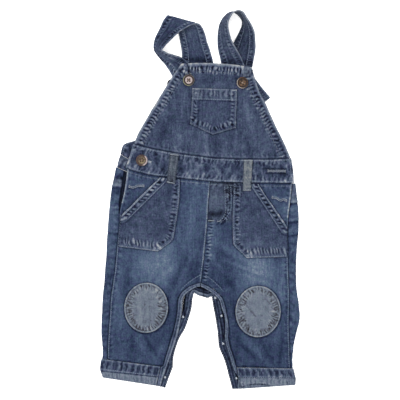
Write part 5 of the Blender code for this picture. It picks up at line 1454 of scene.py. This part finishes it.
def strap(side, table, finish):
    fine = through(table)
    rows = picked(fine, (fine[:, :3] + fine[:, 3:]) / 2, 1.1)
    hold, across = rows[:, :3], rows[:, 3:] - rows[:, :3]
    normal = unit(np.cross(across, np.gradient((hold + rows[:, 3:]) / 2, axis=0)))
    size = np.linalg.norm(across, axis=1)
    points = hold[:, None] + across[:, None] * (spaced(size, 1) / size[:, None])[..., None]
    half = normal[:, None] * STRAP / 2
    cloth = Cloth("strap_" + side, points - half, points + half)
    cloth.weave = cloth.edges["left"][::-1]
    seed, tone, both = {"l": 600, "r": 640}[side], {"l": 0.46, "r": 0.3}[side], (0, 1)
    for edge, start in (("left", seed), ("right", seed + 20)):
        cloth.pucker(edge, 5.2, 3, 4.3, 0.3, start, tone, 0.15, 0.8, sides=both)
        lines = ((edge, 1.1, 0.75, 5, 0.5), (edge, 0.8, 0.26, 7, 8.8), (edge, 1, -0.25, 9, 10.6))
        cloth.lines_of_wear_and_shade(start, *lines, sides=both)
    cloth.lines_of_wear_and_shade(seed, ("bottom", 1.2, 0.5, 11), sides=both)
    # painted shadow on the back strands just above the bib's top edge, which lies over them
    left_x, left_y, right_x, right_y, _ = FRONT_BIB[0]
    brim = left_y + (right_y - left_y) * (cloth.x - left_x) / (right_x - left_x)
    cloth.shift_tone(-0.5, 0, bell(cloth.y - brim - 5.5, 4.5) * (1 - ease((cloth.middle[..., 2] - 5) / 4)), both)
    # painted shade where the straps turn over
    for x, width, y, height, wash_and_shade, bare in STRAP_SHADING[side]:
        cloth.shift_tone(wash_and_shade, bare, bell(cloth.x - x, width) * bell(cloth.y - y, height), both)
    cloth.blotches(seed + 13, 9, 0.13)
    if side == "r":
        cloth.shift_tone(-0.14, 0.15, 1, both)
    cloth.sew("topstitch", ("left", 8.6), ("right", 8.6))
    cloth.make(finish, "denim_front", (40, 285), ["cloth_back_bib"])


# ---------------------------------------------------------------- hard pieces
def lathe(profile, radius, height, sides, steps):
    """Rings of points of a turned piece, and its faces; the first and last points are on the axis."""
    rows = np.clip(through(profile, steps), 0, 1)
    rings = rows[1:-1]
    turns = 2 * math.pi * np.arange(sides) / sides
    points, share = [(0, 0, rows[0, 1] * height)], [0]
    for r, h in rings:
        points += [(r * radius * math.cos(a), r * radius * math.sin(a), h * height) for a in turns]
        share += [r] * sides
    points.append((0, 0, rows[-1, 1] * height))
    share.append(0)
    last = 1 + (len(rings) - 1) * sides
    faces = []
    for k in range(sides):
        n = (k + 1) % sides
        faces.append((0, 1 + k, 1 + n))
        faces += [(a + k, a + sides + k, a + sides + n, a + n) for a in range(1, last, sides)]
        faces.append((last + k, len(points) - 1, last + n))
    return np.array(points), faces, np.array(share)


def button(name, middle, base, radius, height, finish, slot, turn, cord, highlight_angle=215, inner=0.86, spread=0.7):
    """A four-hole button, with a painted highlight on its rim towards an angle in degrees, over a spread,
    from an inner share of its radius.
    """
    points, faces, share = lathe(BUTTON_PROFILE, radius, height, 48, 5)
    hole = 0.13 * radius
    upper = points[:, 2] > 0.45 * height
    corners = np.radians(turn + 90 * np.arange(4))
    holes = np.column_stack([np.cos(corners), np.sin(corners)]) * 0.175 * radius * math.sqrt(2)
    for x, y in holes:
        away = np.hypot(points[:, 0] - x, points[:, 1] - y)
        points[:, 2] -= np.where(upper, 0.5 * height * (1 - ease((away - 0.5 * hole) / (0.7 * hole))), 0)
        # holes are given the dark ring's share, as painted shade in them
        share = np.where(upper & (away < hole), 0.76, share)
    # painted highlight on one side of the rim
    facing = np.cos(np.arctan2(points[:, 1], points[:, 0]) - math.radians(highlight_angle))
    crescent = 0.9 * ease((share - inner) / 0.06) * ease((facing - 0.6 + spread) / spread)
    points = points + (*middle, base)
    mesh_object("turned_" + name, points, faces, finish, slot, name, radius=share, crescent=crescent)
    if cord:
        for start, end in ((holes[0], holes[2]), (holes[1], holes[3])):
            for offset in (-0.28, 0.28):
                beside = middle + plan_ways(start, end)[1] * offset
                ends = [(*(beside + place), base + 0.62 * height) for place in (start, end)]
                stitch(cord, *ends, (0, 0, 1), 0.6)


def buttons(bib):
    """The two strap buttons on the bib, the waist button, and the spare one on the back of a strap."""
    pale, brown, gold, dark = (horn("button_" + name, *look) for name, look in HORNS.items())
    size = (BUTTON_RADIUS, BUTTON_HEIGHT)
    for name, (x, y) in BIB_BUTTONS.items():
        away = np.hypot(bib.x - x, bib.y - y)
        near = (away < BUTTON_RADIUS) & (away > BUTTON_RADIUS - 2.5)
        base = float(bib.surface(0)[..., 2][near].max()) + LAYER_GAP
        looks = {"l": (pale, "button_pale", 45, "shank"), "r": (brown, "button_brown", 20, "light")}
        button(name, (x, y), base, *size, *looks[name[-1]])
    base = float(front_height(*WAIST_BUTTON)) + BAND + LAYER_GAP
    button("waist_button", WAIST_BUTTON, base, *size, gold, "button_brown", 50, "light", 348, 0.76, 0.3)
    size = (SPARE_RADIUS, SPARE_HEIGHT)
    button("spare_button", SPARE_BUTTON, SPARE_BASE, *size, dark, "button_brown", 45, None)


def poppers(finish):
    for name, middle in POPPERS.items():
        points, faces, share = lathe(POPPER_PROFILE, POPPER_RADIUS, POPPER_HEIGHT, 28, 4)
        points = points + (*middle, BACK_BAND + LAYER_GAP)
        mesh_object("turned_" + name, points, faces, finish, "popper_metal", name, radius=share)


# ---------------------------------------------------------------- studio
def studio():
    """A pale floor that shines faintly like a light table, a white world and two soft lamps."""
    corners = [(x, y, -FLOOR_DROP) for x, y in ((-1, -1), (1, -1), (1, 1), (-1, 1))]
    floor_mesh = bpy.data.meshes.new("floor")
    floor_mesh.from_pydata([(x * FLOOR, y * FLOOR, z) for x, y, z in corners], [], [(0, 1, 2, 3)])
    table = Finish("floor")
    colour = table.mixed(table.noise(table.place(), scale=3), (0.93, 0.93, 0.93, 1), (0.95, 0.95, 0.95, 1))
    glow = {"Emission_Color": (1, 1, 1, 1), "Emission_Strength": 0.35}
    floor_mesh.materials.append(table.done(Base_Color=colour, Roughness=0.9, **glow))
    floor = bpy.data.objects.new("floor", floor_mesh)
    bpy.context.collection.objects.link(floor)

    world = bpy.data.worlds.new("studio")
    world.use_nodes = True
    back = world.node_tree.nodes["Background"]
    back.inputs["Color"].default_value = (1, 1, 1, 1)
    back.inputs["Strength"].default_value = 2.05
    bpy.context.scene.world = world
    for name, spot, size, power in (("key", (-0.9, 1.1, 1.5), 0.7, 22), ("fill", (1.3, -0.9, 1.6), 1.2, 6)):
        light = bpy.data.lights.new(name, "AREA")
        light.shape = "DISK"
        light.size = size
        light.energy = power
        lamp = bpy.data.objects.new(name, light)
        lamp.location = spot
        lamp.rotation_euler = (-Vector(spot)).to_track_quat("-Z", "Y").to_euler()
        lamp.visible_camera = False
        bpy.context.collection.objects.link(lamp)


def camera():
    """Straight above, through a long lens; the frame is 400 pixels of 1.35 mm."""
    frame_width, lens, sensor = 0.54, 400, 36
    data = bpy.data.cameras.new("camera")
    data.lens, data.sensor_width = lens, sensor
    data.clip_end = 100
    result = bpy.data.objects.new("camera", data)
    result.location = (0.0001, -0.0005, frame_width * lens / sensor)
    bpy.context.collection.objects.link(result)
    bpy.context.scene.camera = result
    bpy.context.scene.view_settings.view_transform = "Standard"


def main():
    tinted = [(place, np.add(colour, FADE_TINT if place > 0.2 else LEG_TINT)) for place, colour in BLUE_STOPS]
    bluer = [(place, np.maximum(colour, 0)) for place, colour in tinted]
    front, back, wrong = denim("denim_front", 1), denim("denim_back", 2), denim("denim_wrong_side", 4)
    legs = denim("denim_legs", 5, bluer, uneven=0.85)
    patch = denim("denim_patch", 6, greys=PATCH_STOPS, uneven=0.7)
    loop = denim("denim_loop", 7, greys=LOOP_STOPS)
    back_bib(back)
    back_waistband(back)
    for side, hip, leg, turn_up, pocket in (
        ("l", HIP_L, LEG_L, CUFF_L, HIP_POCKET_L),
        ("r", HIP_R, LEG_R, CUFF_R, HIP_POCKET_R),
    ):
        back_leg(side, hip, leg, turn_up, legs)
        leg_piece = front_leg(side, hip, leg, turn_up, pocket, legs)
        placket("back", side, leg, turn_up, back)
        placket("front", side, leg, turn_up, front)
        cuff(side, turn_up, wrong)
        hip_pocket(side, pocket, front)
        for line in BUTTONHOLES[side]:
            buttonhole(leg_piece, line)
    for name, sizes in KNEE_PATCHES.items():
        knee_patch(name, *sizes, patch)
    strap("l", STRAP_L, front)
    strap("r", STRAP_R, front)
    bib = front_bib(front)
    bib_pocket(front)
    band = front_waistband(front)
    buttonhole(band, ((92.5, 38.5), (115.5, 38.5)))
    buttonhole(band, ((-84.5, 54.5), (-65.5, 50.5)), 3)
    bartack(band, (-70, 51.9), (-65.5, 50.6), 3.4)
    for name, (table, tone, bare) in BELT_LOOPS.items():
        belt_loop(name, table, tone, bare, loop)
    bartack(bib, (-19, 169.2), (-16.8, 171), 2, "amber")
    bartack(bib, (-13.4, 170.6), (-11.2, 169.4), 1.8, "amber")
    buttons(bib)
    poppers(steel("popper_metal"))
    for start, end in LOOSE_THREADS:
        stitch("tonal", start, end, (0, 0, 1), 0.5)
    for kind, (piece, material, colour, shade, slot) in THREADS.items():
        sewing(kind, piece, thread(material, colour, shade), slot)
    studio()
    camera()


main()
